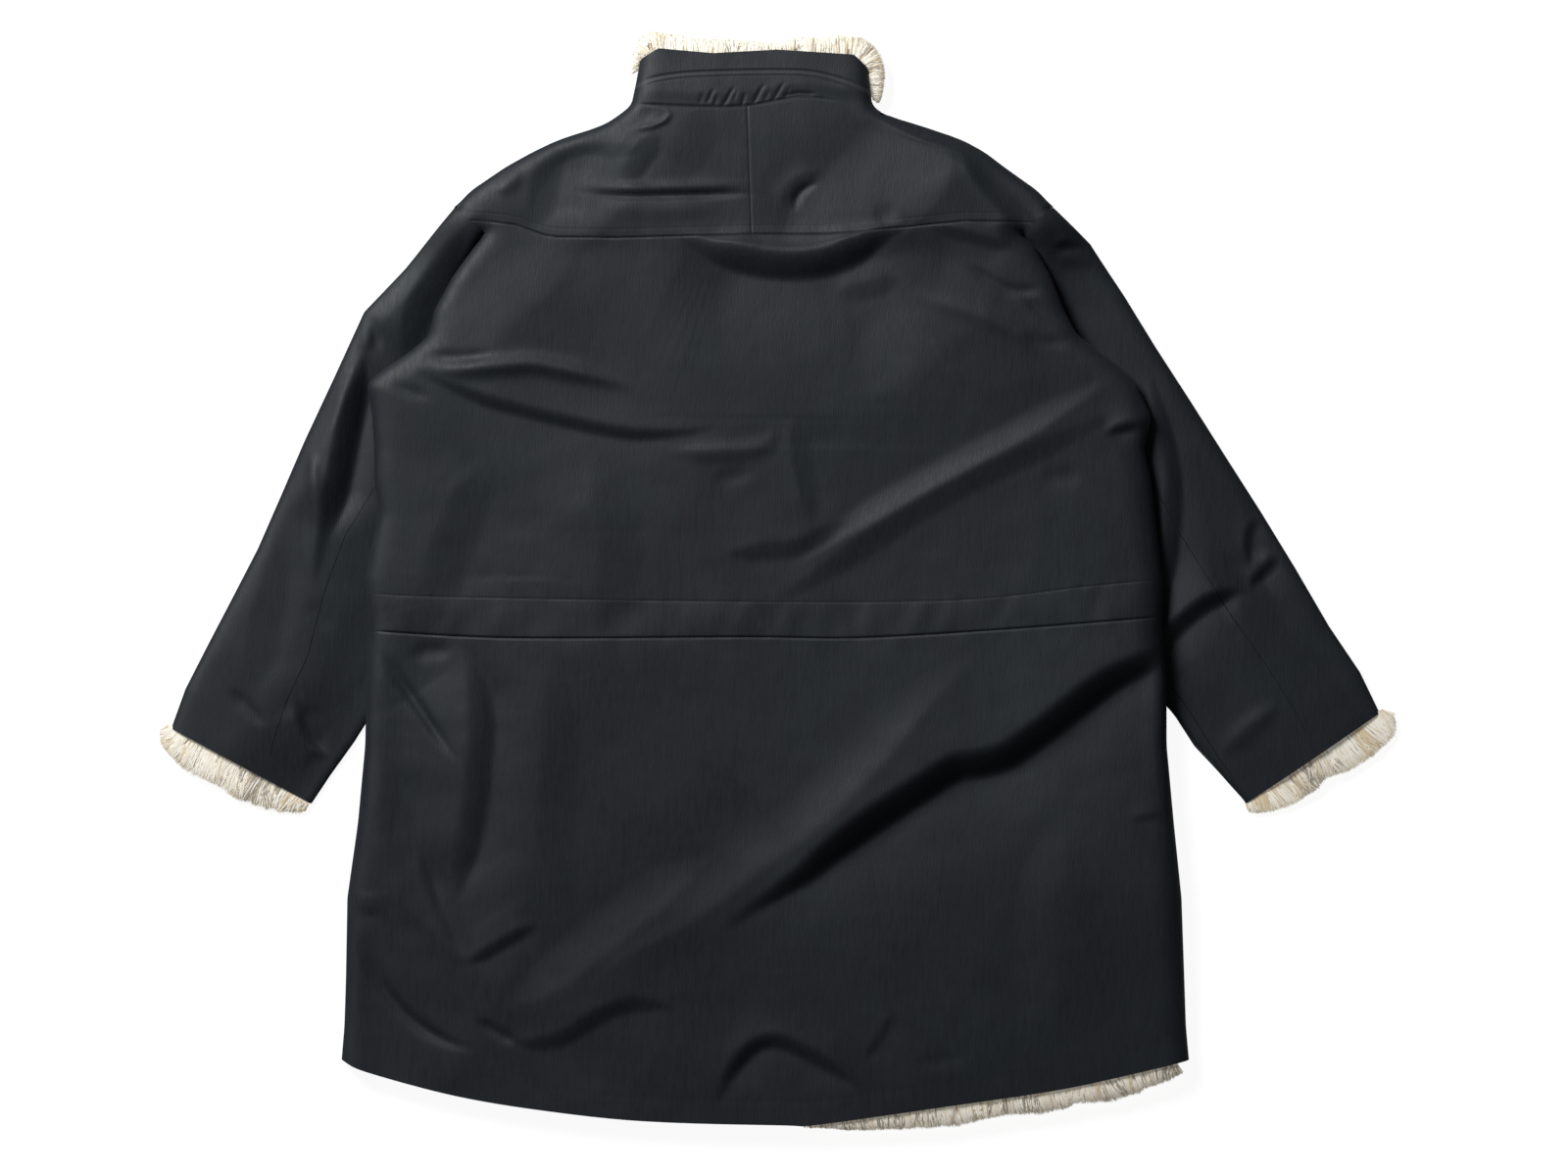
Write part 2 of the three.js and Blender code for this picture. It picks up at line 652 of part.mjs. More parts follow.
const FRONT_SHARES = [0, 0.003, 0.011, 0.024, 0.06, 0.11, 0.17, 0.24, 0.33, 0.46, 0.7, 1];
const FRONT_ROWS = [
  0, 0.1, 0.22, 0.32, ...evenly(0.37, 0.66, 6), ...evenly(0.7, 0.868, 6), 0.894, 0.92, 0.96, 1,
];

const FRONT_MIDDLE = -22; // the front zip runs straight, hidden below
const frontPieces = [
  frontPiece(
    "front_left",
    HEM,
    COLLAR_SEAM,
    (y, t) => mix(read(BODY_EDGES, "y", "left", y), FRONT_MIDDLE - ZIP_HALF_WIDTH - GAP, t),
    FRONT_SHARES,
    FRONT_ROWS,
  ),
  frontPiece(
    "front_right",
    HEM,
    COLLAR_SEAM,
    (y, t) => mix(FRONT_MIDDLE + ZIP_HALF_WIDTH + GAP, read(BODY_EDGES, "y", "right", y), t),
    FRONT_SHARES.map((share) => 1 - share).reverse(),
    FRONT_ROWS,
  ),
  frontPiece(
    "front_zip",
    HEM,
    COLLAR_SEAM,
    (y, t) => FRONT_MIDDLE + mix(-ZIP_HALF_WIDTH, ZIP_HALF_WIDTH, t),
    [0, 1],
    evenly(0, 1, 8),
  ),
  frontPiece(
    "collar_front",
    COLLAR_SEAM.map(({ x, y }) => ({ x, y: y + 2.5 })),
    COLLAR_TOP,
    across,
    [0, 0.006, 0.02, 0.05, 0.2, 0.4, 0.6, 0.8, 0.95, 0.98, 0.994, 1],
    [0, 0.5, 1],
  ),
];

// sleeves: two pieces each

// A place on a sleeve's ring: 0 to 1 over the top from outer to inner edge, 1 to 2 back below.
function ringPoint(sleeve, along, turn) {
  const round = ((turn % 2) + 2) % 2;
  const over = round <= 1;
  const share = over ? round : 2 - round;
  const [x, y] = sleevePlan(sleeve, along, share);
  const { top, bottom } = sleeveHeights(sleeve, x, y);
  return new THREE.Vector3(x, y, over ? top : bottom);
}

const RING_ROWS = evenly(0, SLEEVES[0].rings.length - 1, 20);
const UPPER_STEPS = [-1, -0.6, -0.25, -0.09, -0.02, 0, 0.015, 0.06, 0.16, 0.32, 0.5, 0.68, 0.85, 1];
const UNDER_STEPS = [0, 0.18, 0.38, 0.6, 0.8, 0.93, 0.985, 1];

// The seam columns of a sleeve at a ring row, with half a gap taken off each side.
function seamTurns(sleeve, along) {
  const i = Math.min(sleeve.rings.length - 2, Math.floor(along));
  const t = along - i;
  const [a, b] = [sleeve.rings[i], sleeve.rings[i + 1]];
  return { first: mix(a.seam, b.seam, t), second: mix(a.second, b.second, t) };
}

const TURN_GAP = 0.0015; // of a ring turn: about 0.2 mm on the cloth

function sleevePieces(sleeve) {
  const start = 0.004;
  const rows = RING_ROWS.map((along, i) => (i === 0 ? start : along));
  const upper = (step, along) => {
    const { first, second } = seamTurns(sleeve, along);
    const from = second - 2 + TURN_GAP;
    const to = first - TURN_GAP;
    return ringPoint(sleeve, along, step < 0 ? -step * from : step * to);
  };
  const under = (step, along) => {
    const { first, second } = seamTurns(sleeve, along);
    const from = first + TURN_GAP;
    const to = second - TURN_GAP;
    if (second <= 1) return ringPoint(sleeve, along, mix(from, to, step));
    const turn = step <= 1 ? mix(from, 1, step) : mix(1, to, step - 1);
    return ringPoint(sleeve, along, turn);
  };
  const underSteps = sleeve.side === "left" ? [...UNDER_STEPS, 1.06, 1.3, 1.6, 2] : UNDER_STEPS;
  const upperSteps =
    sleeve.side === "left"
      ? UPPER_STEPS
      : [-1, -0.995, -0.985, -0.965, -0.94, -0.9, -0.75, ...UPPER_STEPS.slice(1)];
  return [
    sheet(sleeve.side + "_upper_sleeve", upper, upperSteps, rows, sleeve.facing),
    sheet(sleeve.side + "_under_sleeve", under, underSteps, rows, sleeve.facing),
  ];
}

// pile at collar, cuffs and hem

const COLLAR_PILE = [
  { x: -136.4, y: 479, angle: 180, depth: -0.9, proud: 5, low: 6, high: 15 },
  { x: -135, y: 487, angle: 160, depth: -0.9, proud: 6, low: 4, high: 18 },
  { x: -132, y: 492, angle: 130, depth: -1.2, proud: 9, low: 3.4, high: 19 },
  { x: -119, y: 500, angle: 96, depth: -1.2, proud: 16, low: 3.2, high: 20 },
  { x: -110, y: 498.5, angle: 92, depth: 12, proud: 15, low: 3, high: 20 },
  { x: -88, y: 496.6, angle: 90, depth: 12, proud: 14, low: 3, high: 20.5 },
  { x: -64, y: 494.5, angle: 90, depth: 12, proud: 15, low: 3, high: 20.5 },
  { x: -40, y: 495.8, angle: 90, depth: 12, proud: 13, low: 3, high: 20.5 },
  { x: -4, y: 497.8, angle: 90, depth: 12, proud: 6.5, low: 3, high: 20.5 },
  { x: 14, y: 496.7, angle: 90, depth: 12, proud: 13, low: 3, high: 20.5 },
  { x: 45, y: 494.7, angle: 88, depth: 12, proud: 16, low: 3, high: 20.5 },
  { x: 60, y: 493.6, angle: 84, depth: 10, proud: 17, low: 3, high: 20 },
  { x: 71, y: 492, angle: 70, depth: -1.2, proud: 19, low: 3.2, high: 19 },
  { x: 79, y: 486, angle: 45, depth: -1.2, proud: 17, low: 3.4, high: 18.5 },
  { x: 83.5, y: 477, angle: 12, depth: -1.2, proud: 14.5, low: 3.6, high: 18 },
  { x: 84.4, y: 463, angle: -6, depth: -1.2, proud: 12, low: 4, high: 16 },
  { x: 86.5, y: 452, angle: -12, depth: -1.2, proud: 6, low: 5, high: 14 },
];

const HEM_PILE = [
  { x: -398, proud: -4 },
  { x: -300, proud: -3 },
  { x: -20, proud: -3 },
  { x: 12, proud: 1 },
  { x: 30, proud: 3 },
  { x: 65, proud: 9.5 },
  { x: 105, proud: 15 },
  { x: 146, proud: 19.5 },
  { x: 227, proud: 18 },
  { x: 308, proud: 19 },
  { x: 352, proud: 16.5 },
  { x: 371, proud: 11 },
];

function hemPile() {
  const sections = evenly(-398, 371, 30).map((x) => {
    const y = read(HEM, "x", "y", x);
    const slope = (read(HEM, "x", "y", x + 8) - read(HEM, "x", "y", x - 8)) / 16;
    const angle = -90 + (Math.atan(slope) * 180) / Math.PI;
    const high = Math.min(backHeight(x, y + 1), backHeight(x, y + 14)) - CLOTH - 1;
    const proud = read(HEM_PILE, "x", "proud", x);
    return pileSection({ x, y, angle, depth: 16, proud, low: CLOTH + 1, high });
  });
  return loft("hem_fur", sections);
}

// How far the pile of each cuff stands out past the cloth, from outer to inner edge.
const CUFF_PILE = [
  { share: -0.03, fan: 24, depth: -1.2, left: 8, right: 18, tall: 0.55 },
  { share: 0.03, fan: 14, depth: -1.2, left: 18, right: 25, tall: 0.8 },
  { share: 0.1, fan: 8, depth: 10, left: 24, right: 28, tall: 1 },
  { share: 0.22, fan: 4, depth: 13, left: 28, right: 30, tall: 1 },
  { share: 0.36, fan: 0, depth: 13, left: 27, right: 27, tall: 1 },
  { share: 0.5, fan: 0, depth: 13, left: 28, right: 22, tall: 1 },
  { share: 0.62, fan: 0, depth: 13, left: 27, right: 24, tall: 1 },
  { share: 0.74, fan: 0, depth: 13, left: 21, right: 25, tall: 1 },
  { share: 0.85, fan: 0, depth: 12, left: 22, right: 22, tall: 0.95 },
  { share: 0.93, fan: 0, depth: 8, left: 17, right: 15, tall: 0.85 },
  { share: 0.985, fan: 0, depth: -1.2, left: 9, right: 9, tall: 0.6 },
];

function cuffPile(sleeve) {
  const last = sleeve.rings.length - 1;
  const { outer, inner } = sleeve.rings[last];
  const alongCuff = Math.atan2(inner[1] - outer[1], inner[0] - outer[0]);
  const turn = sleeve.side === "left" ? -90 : 90;
  const sections = CUFF_PILE.map((row) => {
    const [x, y] = sleevePlan(sleeve, last, row.share);
    const [insideX, insideY] = sleevePlan(sleeve, last, Math.min(0.97, Math.max(0.06, row.share)));
    const [deepX, deepY] = sleevePlan(sleeve, last - 0.35, Math.min(0.9, Math.max(0.1, row.share)));
    const top = Math.min(
      sleeveHeights(sleeve, insideX, insideY).top,
      sleeveHeights(sleeve, deepX, deepY).top,
    );
    const room = top - 2 * CLOTH - 3;
    const middle = top / 2;
    return pileSection({
      x,
      y,
      angle: (alongCuff * 180) / Math.PI + turn * (1 + row.fan / 90),
      depth: row.depth,
      proud: row[sleeve.side],
      low: middle - (room / 2) * row.tall,
      high: middle + (room / 2) * row.tall,
    });
  });
  return loft(sleeve.side + "_cuff_fur", sections);
}

// right shoulder

function manifoldOf(mesh) {
  const merged = new manifold.Mesh({
    numProp: 3,
    vertProperties: new Float32Array(mesh.geometry.getAttribute("position").array),
    triVerts: new Uint32Array(mesh.geometry.index.array),
  });
  merged.merge();
  return new manifold.Manifold(merged);
}

// The front's strip that rolls over the shoulder as far as the shoulder seam.
function shoulderStrip() {
  const place = (y) => yokeColumn("right")(y, 1);
  const low = lineAt(YOKE_SEAM, place) + GAP / 2;
  const high = lineAt(COLLAR_SEAM, place) - GAP / 2;
  const point = (t, v) => {
    const y = mix(low, high, v);
    const edge = read(BODY_EDGES, "y", "right", y);
    const seam = read(SHOULDER_SEAM, "y", "x", y);
    const x = mix(Math.min(seam, edge - 1), edge, t);
    return new THREE.Vector3(x, y, backHeight(x, y) - (t > 0.999 ? 1.6 : 0));
  };
  return sheet("strip", point, [0, 0.4, 0.7, 0.9, 0.98, 1], SHOULDER_ROWS, 1);
}

function joined(name, first, second) {
  const result = manifoldOf(first).add(manifoldOf(second)).getMesh();
  return meshOf(name, [...result.vertProperties], [...result.triVerts]);
}

// the garment

const parka = new THREE.Group();
for (const mesh of [...backPieces, ...frontPieces])
  parka.add(mesh.name === "front_right" ? joined(mesh.name, mesh, shoulderStrip()) : mesh);
for (const sleeve of SLEEVES) {
  for (const mesh of sleevePieces(sleeve)) parka.add(mesh);
  parka.add(cuffPile(sleeve));
}
parka.add(loft("collar_fur", COLLAR_PILE.map(pileSection)));
parka.add(hemPile());

export default parka;
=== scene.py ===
# %% [markdown]
# # A parka laid flat with its back up
# The real coat is a padded cloth shell with a yoke, a back panel, a skirt, two-piece sleeves and
# a funnel collar, trimmed with pile. It lies on its front on a pale surface.
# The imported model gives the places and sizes. Each cloth piece is drawn again here as a fine,
# thin sheet on the same form, so that it can carry small folds, seams and stitches.

import math
from types import SimpleNamespace

import bpy
import numpy as np
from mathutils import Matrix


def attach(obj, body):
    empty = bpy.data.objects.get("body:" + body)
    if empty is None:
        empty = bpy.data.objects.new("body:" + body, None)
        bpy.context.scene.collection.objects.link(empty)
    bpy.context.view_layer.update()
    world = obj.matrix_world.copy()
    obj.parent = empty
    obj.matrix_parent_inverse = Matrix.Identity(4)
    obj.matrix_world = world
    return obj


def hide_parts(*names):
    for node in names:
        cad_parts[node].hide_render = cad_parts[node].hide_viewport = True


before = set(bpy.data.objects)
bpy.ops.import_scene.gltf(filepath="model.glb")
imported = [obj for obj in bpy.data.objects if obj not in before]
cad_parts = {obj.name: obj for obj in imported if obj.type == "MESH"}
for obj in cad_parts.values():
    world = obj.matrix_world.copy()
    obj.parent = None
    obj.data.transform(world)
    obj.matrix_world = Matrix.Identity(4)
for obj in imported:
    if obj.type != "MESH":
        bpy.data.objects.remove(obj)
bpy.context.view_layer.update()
MM = 0.001

# %% [markdown]
# ## Small helpers
# Cloth on a table is nearly a height over a plan, so most helpers work on whole arrays of
# x and y at once. NumPy makes a grid of 50,000 points as short to write as one point.


# %% Easing, rounding and reading tables
def ease(start, end, at):
    """0 before `start`, 1 past `end`, and a soft S between them."""
    t = np.clip((at - start) / (end - start), 0, 1)
    return t * t * (3 - 2 * t)


def round_over(distance, radius, power=2):
    """From 0 at an edge to 1 inside: a quarter round, or a squarer one with a higher power."""
    return np.sqrt(1 - (1 - np.clip(distance / radius, 0, 1)) ** power)


def read(table, at, column=1, reach=0.0):
    """A column of a table, straight between its rows, or with the corners taken off."""
    rows = np.array(table, dtype=float)
    steps = (-1, -0.5, 0, 0.5, 1) if reach else (0,)
    return sum(np.interp(at + s * reach, rows[:, 0], rows[:, column]) for s in steps) / len(steps)


print("halfway between 0 and 10 eases to", float(ease(0, 10, 5)))


# %% Lines and unevenness
def curved(line, count=6):
    """The same line as a smooth curve through its points."""
    points = np.array(line, dtype=float)
    padded = np.vstack([2 * points[0] - points[1], points, 2 * points[-1] - points[-2]])
    curve = []
    for a, b, c, d in zip(padded, padded[1:], padded[2:], padded[3:]):
        for t in np.linspace(0, 1, count, endpoint=False):
            bend = (2 * a - 5 * b + 4 * c - d) * t**2 + (3 * b - a - 3 * c + d) * t**3
            curve.append(b + ((c - a) * t + bend) / 2)
    return [*curve, points[-1]]


def nearest(line, x, y):
    """Distance to a line of points, share of its length, and which side: left is above 0."""
    points = np.array(line, dtype=float)
    sizes = np.hypot(*np.diff(points, axis=0).T)
    before = np.concatenate([[0], np.cumsum(sizes)])
    best = np.full(np.shape(x), 1e9)
    share = np.zeros(np.shape(x))
    side = np.ones(np.shape(x))
    for (ax, ay), (bx, by), size, start in zip(points, points[1:], sizes, before):
        dx, dy = (bx - ax) / size, (by - ay) / size
        along = np.clip((x - ax) * dx + (y - ay) * dy, 0, size)
        px, py = x - ax - along * dx, y - ay - along * dy
        distance = np.hypot(px, py)
        closer = distance < best
        best = np.where(closer, distance, best)
        share = np.where(closer, (start + along) / before[-1], share)
        side = np.where(closer, np.where(dx * (y - ay) >= dy * (x - ax), 1, -1), side)
    return best, share, side


def soft_noise(x, y, size, seed):
    """Smooth unevenness from -1 to 1, with lumps about `size` mm across."""
    lattice = np.random.default_rng(seed).uniform(-1, 1, (64, 64))
    u, v = x / size + 512.5, y / size + 512.5
    i, j = np.floor(u).astype(int), np.floor(v).astype(int)
    fu, fv = u - i, v - j
    fu, fv = fu * fu * (3 - 2 * fu), fv * fv * (3 - 2 * fv)
    corner = [lattice[(i + a) % 64, (j + b) % 64] for a, b in ((0, 0), (1, 0), (0, 1), (1, 1))]
    low = corner[0] * (1 - fu) + corner[1] * fu
    high = corner[2] * (1 - fu) + corner[3] * fu
    return low * (1 - fv) + high * fv


sample = soft_noise(np.arange(200.0), np.arange(200.0), 20, 1)
print("unevenness lies between", sample.min().round(2), "and", sample.max().round(2))

# %% [markdown]
# ## The cut
# These lines are where the maker sewed or folded the cloth, in millimetres from the middle of the
# parka. Each piece later takes two of them as its lower and upper border.

# %% Sides, seams and heights
BODY_EDGES = [  # y, left fold, right fold
    (-452, -413.6, 383), (-419, -410.8, 380), (-375, -409.4, 378.5), (-298, -408, 375.8),
    (-228, -398, 368.5), (-154, -391, 361.6), (-95, -389.6, 361.5), (-44, -386, 357),
    (1, -390.5, 357.4), (31, -385, 354), (62, -377.5, 350), (93, -382, 346.8),
    (124, -382, 340), (154, -384, 346.8), (185, -388.7, 332), (198, -374, 319),
    (212, -352, 301.3), (229, -331, 278.3), (254, -325.2, 264.5), (286, -307.7, 252.5),
    (313, -288, 236.9), (326.5, -277.4, 223.1), (349.5, -306.8, 255.3), (366, -291, 239.7),
    (388, -259, 209), (402, -234, 190.9), (414, -209, 169), (427.3, -167, 130),
    (437.5, -152, 96), (446, -141.2, 85.1), (478, -134.5, 82.3), (500, -131, 79),
]
ARMHOLE_LOW = 326.5
ARMHOLE_HIGH = 349.5
CENTRE = [(-520, -12), (-50, -12), (150, -17), (254, -28), (324, -28), (444, -32), (500, -30)]
CENTRE_SHARE = 0.504  # of the way from the left side to the right one
HEIGHTS = [  # y, side fold, padded middle, how far the side rolls over
    (-520, 9, 20, 26), (-449, 9, 22, 30), (-300, 10, 30, 34), (-160, 13, 33, 34),
    (-60, 17, 34, 34), (40, 20, 35, 34), (120, 21, 36, 34), (190, 22, 37, 34),
    (260, 23, 37, 34), (330, 23, 36, 34), (400, 17, 33, 32), (446, 13, 31, 24),
    (500, 11.5, 22, 20),
]
HEM = curved([
    (-414, -449.4), (-388.7, -461.4), (-306, -483.5), (-223, -497.3), (-126.5, -507.4),
    (2.3, -511.1), (32.7, -510.6), (141, -495.4), (253.5, -478.9), (318, -465.5), (383, -450),
])
WAIST_SEAM = curved([(-390, -47), (-255, -53.8), (-34, -52.9), (71, -53.8), (212, -45.5), (360, -33.6)])
CHANNEL_LINE = curved([(-391, -9.7), (-335, -14.7), (-34, -19.8), (162, -18.4), (282, -6), (358, 1.4)])
YOKE_SEAM = [
    (-290, 337), (-268, 335.3), (-247, 332.6), (-217, 321.5), (-156, 320.6), (-28, 324.3),
    (39, 324.3), (109, 329.8), (172, 336.3), (240, 335.3),
]
COLLAR_SEAM = curved([(-141, 446.7), (-74, 444), (-32.7, 444.8), (1, 451), (27, 453), (86, 444)])
ZIP_LOW = curved([(-138, 461), (-115, 467.5), (-74, 472), (14, 473.3), (52, 467), (84, 455)])
ZIP_HIGH = curved([(-138, 465), (-115, 472), (-74, 476.4), (14, 477.7), (52, 471.2), (84, 459.5)])
COLLAR_TOP = [(-134, 488), (-115.5, 499), (-64, 494.5), (-4, 497.8), (68, 493.1), (83, 479)]
SHOULDER_SEAM = [(402, 190.5), (404, 184), (413, 148), (422, 120), (437, 92.5)]
print("chest, mm:", read(BODY_EDGES, 160, 2) - read(BODY_EDGES, 160, 1))

# %% [markdown]
# ## The lie of the sleeves
# A sleeve is a flattened tube of two pieces of cloth. A ring is one place along it: where its outer
# and its inner edge lie, and what share of the way round its two seams are, counted from the outer
# edge over the top. A share above 1 is underneath. The armholes are where body and sleeve are sewn.

# %% Sleeves, ring by ring
LEFT_RINGS = [  # outer x, y, inner x, y, first seam, second seam
    (-306.8, 349.5, -292, 212, 0.66, 1.25), (-353.7, 293, -314, 188, 0.68, 1.25),
    (-392.4, 252.5, -327, 150, 0.68, 1.25), (-420, 192, -331, 108, 0.66, 1.25),
    (-448.5, 131, -338, 60, 0.6, 1.25), (-470, 81, -348, 8, 0.5, 1.25),
    (-492.3, 30, -362, -48, 0.49, 1.25), (-515, -14, -383, -122, 0.53, 1.25),
    (-538, -58, -402, -152, 0.55, 1.25), (-560.3, -101.7, -425, -184, 0.61, 1.25),
    (-573.6, -138.5, -442.1, -209.8, 0.678, 1.25),
]
RIGHT_RINGS = [
    (255.3, 349.5, 240, 212, 0.62, 0.84), (290, 316, 262, 188, 0.64, 0.84),
    (322, 268, 285, 150, 0.62, 0.85), (352, 219, 297, 108, 0.6, 0.86),
    (385, 168, 303, 60, 0.55, 0.88), (418, 116, 310, 8, 0.5, 0.92),
    (450, 66, 322, -48, 0.45, 0.9), (483, 12, 342, -100, 0.42, 0.89),
    (515, -43, 368, -130, 0.41, 0.9), (544, -86, 405, -177, 0.43, 0.935),
    (562.6, -124.5, 434.7, -211.1, 0.47, 0.943),
]
LEFT_ARMHOLE = [(-306.8, 349.5), (-277.4, 326.5), (-262, 285), (-272, 240), (-292, 212)]
RIGHT_ARMHOLE = [(255.3, 349.5), (223.1, 326.5), (208, 285), (218, 240), (240, 212)]
SLEEVE_CROWN = [(-215, 16), (-100, 18), (150, 18), (250, 16), (350, 15)]
INNER_HEIGHT = 6
SPREAD = 95  # from the inner edge to where the sleeve is at its full height
OUTER_ROLL = 24
INNER_ROLL = 8
LEFT_LEAN = 2  # how much lower the outer side of the sleeve lies
RIGHT_LEAN = 9
print("rings a sleeve:", len(LEFT_RINGS))

# %% [markdown]
# ## The folds
# Where padded cloth is pushed together it makes a step: one side rides up, a short face drops, and
# both sides ease back over a hand's breadth. Such a face turns away from the window and shows dark.
# Smaller creases are narrow troughs, and stretched cloth makes long low ridges. So there are two
# kinds of fold here, in tables. Where a fold lies and how wide it is was read off the photograph.
# How high it stands was judged from its light and dark.

# %% Steps: drop from left to right of the line, width of the face, skew, ease on each side
BACK_STEPS = [  # skew above 0 makes the right border of the face the sharper one
    (8, 28, 0.5, 40, 30, [(-310, -310), (-302, -280), (-294, -248), (-287, -212), (-284, -178),
                          (-281, -142), (-283, -108), (-293, -76), (-312, -58)]),
    (5, 36, 0, 20, 26, [(-318, -335), (-342, -290), (-358, -235), (-374, -160)]),
    (3, 11, 0.3, 16, 30, [(-290, -362), (-309, -339), (-321, -310), (-333, -274), (-340, -240)]),
    (4, 12, 0.3, 16, 20, [(-300, -358), (-284, -353), (-268, -344), (-246, -331), (-226, -322)]),
    (2.5, 9, 0, 18, 24, [(-396, -290), (-392, -305), (-380, -316)]),
    (4.4, 17, 0.2, 30, 40, [(-262, -432), (-229, -434), (-200, -427), (-176, -411), (-146, -398),
                            (-117, -398), (-92, -404)]),
    (6.4, 15, 0.3, 22, 22, [(-64, -496), (-56, -478), (-46, -458), (-28, -438), (-7, -431),
                            (19, -440), (43, -454), (64, -468), (78, -480)]),
    (1.6, 9, 0, 16, 22, [(76, -450), (93, -428), (106, -402)]),
    (1.8, 8, 0, 12, 16, [(326, -224), (348, -221), (372, -220)]),
    (20, 29, 0.35, 80, 60, [(-64, -332), (-28, -307), (2, -287), (25, -271), (43, -255), (73, -232),
                            (102, -212), (132, -193), (161, -175), (185, -171), (209, -164),
                            (232, -149), (256, -131), (280, -112), (303, -95), (327, -82),
                            (345, -74), (380, -66), (450, -60)]),
    (-3.8, 44, 0.8, 60, 40, [(-190, -392), (-152, -345), (-99, -307), (-63, -280), (-28, -252),
                             (8, -228), (37, -203), (73, -165), (108, -129), (138, -100), (190, -56)]),
    (-4, 40, 0.4, 40, 50, [(-268, -404), (-220, -372), (-170, -330), (-110, -284), (-60, -250)]),
    (14.5, 29, 0.6, 8, 60, [(-100, 324), (-84, 318), (-61, 307), (-29, 299), (3, 295), (35, 297),
                            (68, 308), (90, 321), (120, 334)]),
    (2, 20, 0, 20, 30, [(48, 266), (82, 272), (112, 284)]),
    (3, 13, 0, 14, 24, [(136, 331), (177, 321), (220, 310)]),
    (5.5, 13, 0.4, 22, 34, [(-356, 202), (-325, 189), (-287, 173), (-267, 166), (-209, 151),
                            (-145, 138), (-100, 138), (-55, 144)]),
    (4, 44, 0, 44, 44, [(-306, -40), (-316, 8), (-297, 58), (-274, 112)]),
    (2.6, 20, -0.4, 12, 40, [(32, 50), (22, 100), (12, 160)]),
    (3, 18, 0.2, 22, 30, [(-60, 24), (-20, 27), (20, 33), (66, 60)]),
    (-5, 26, 0.5, 36, 34, [(0, 6), (40, 36), (81, 64), (149, 102), (240, 152), (320, 198)]),
    (3, 24, 0, 20, 36, [(-20, -30), (60, 20), (149, 78), (250, 126), (330, 164)]),
    (3, 44, 0, 44, 54, [(-168, -60), (-150, 40), (-178, 120)]),
    (3, 40, 0, 54, 60, [(-190, -330), (-212, -240), (-208, -120), (-222, -60)]),
    (-3, 44, 0, 54, 60, [(250, -440), (236, -330), (262, -210)]),
    (6, 10, 0, 12, 16, [(300, 136), (326, 144), (344, 140), (366, 128)]),
    (-6, 130, 0, 40, 70, [(-360, -520), (-330, -400), (-300, -260), (-290, -120), (-290, 20)]),
    (-4, 60, 0, 60, 60, [(-330, 180), (-270, 262), (-190, 312)]),
    (-4, 70, 0, 60, 60, [(60, 170), (140, 246), (210, 300)]),
]
YOKE_STEPS = [
    (2, 16, 0, 16, 26, [(-206, 407), (-165, 404), (-128, 402)]),
    (4, 32, 0, 34, 36, [(-226, 330), (-222, 366), (-212, 412)]),
    (9, 26, -0.6, 30, 34, [(252, 306), (233, 332), (214, 352), (194, 374), (178, 402), (168, 424)]),
    (-9, 96, 0, 40, 34, [(0, 276), (50, 326), (100, 376), (160, 440)]),
    (-5, 70, 0, 34, 34, [(-230, 300), (-190, 356), (-150, 400), (-120, 440)]),
    (4, 24, 0.3, 20, 24, [(-150, 372), (-138, 386), (-128, 400), (-116, 420)]),
    (2, 40, 0, 30, 34, [(-96, 372), (-84, 408), (-66, 444)]),
]
SLEEVE_STEPS = [
    (9, 32, 0.2, 40, 20, [(-354, 200), (-341, 250), (-319, 295), (-296, 334)]),
    (15, 26, 0.3, 34, 18, [(-428, 34), (-418, 85), (-409, 130), (-400, 176), (-391, 220)]),
    (3, 34, 0, 30, 30, [(-498, -110), (-486, -50), (-470, 52)]),
    (5, 10, 0, 14, 10, [(-426, -166), (-446, -146), (-457, -112)]),
    (9, 17, 0, 24, 20, [(340, -66), (362, -52), (380, -36), (398, -22), (420, -12), (438, -8)]),
    (5, 11, 0, 12, 14, [(440, -8), (446, 2), (456, 12), (468, 26)]),
    (3.5, 9, 0, 12, 16, [(440, 12), (438, 34), (442, 50), (460, 62)]),
    (6, 18, 0.5, 20, 30, [(352, -44), (364, 20), (368, 66), (366, 110), (352, 170), (344, 200)]),
    (4, 9, 0, 10, 16, [(254, 314), (276, 317), (300, 318)]),
]

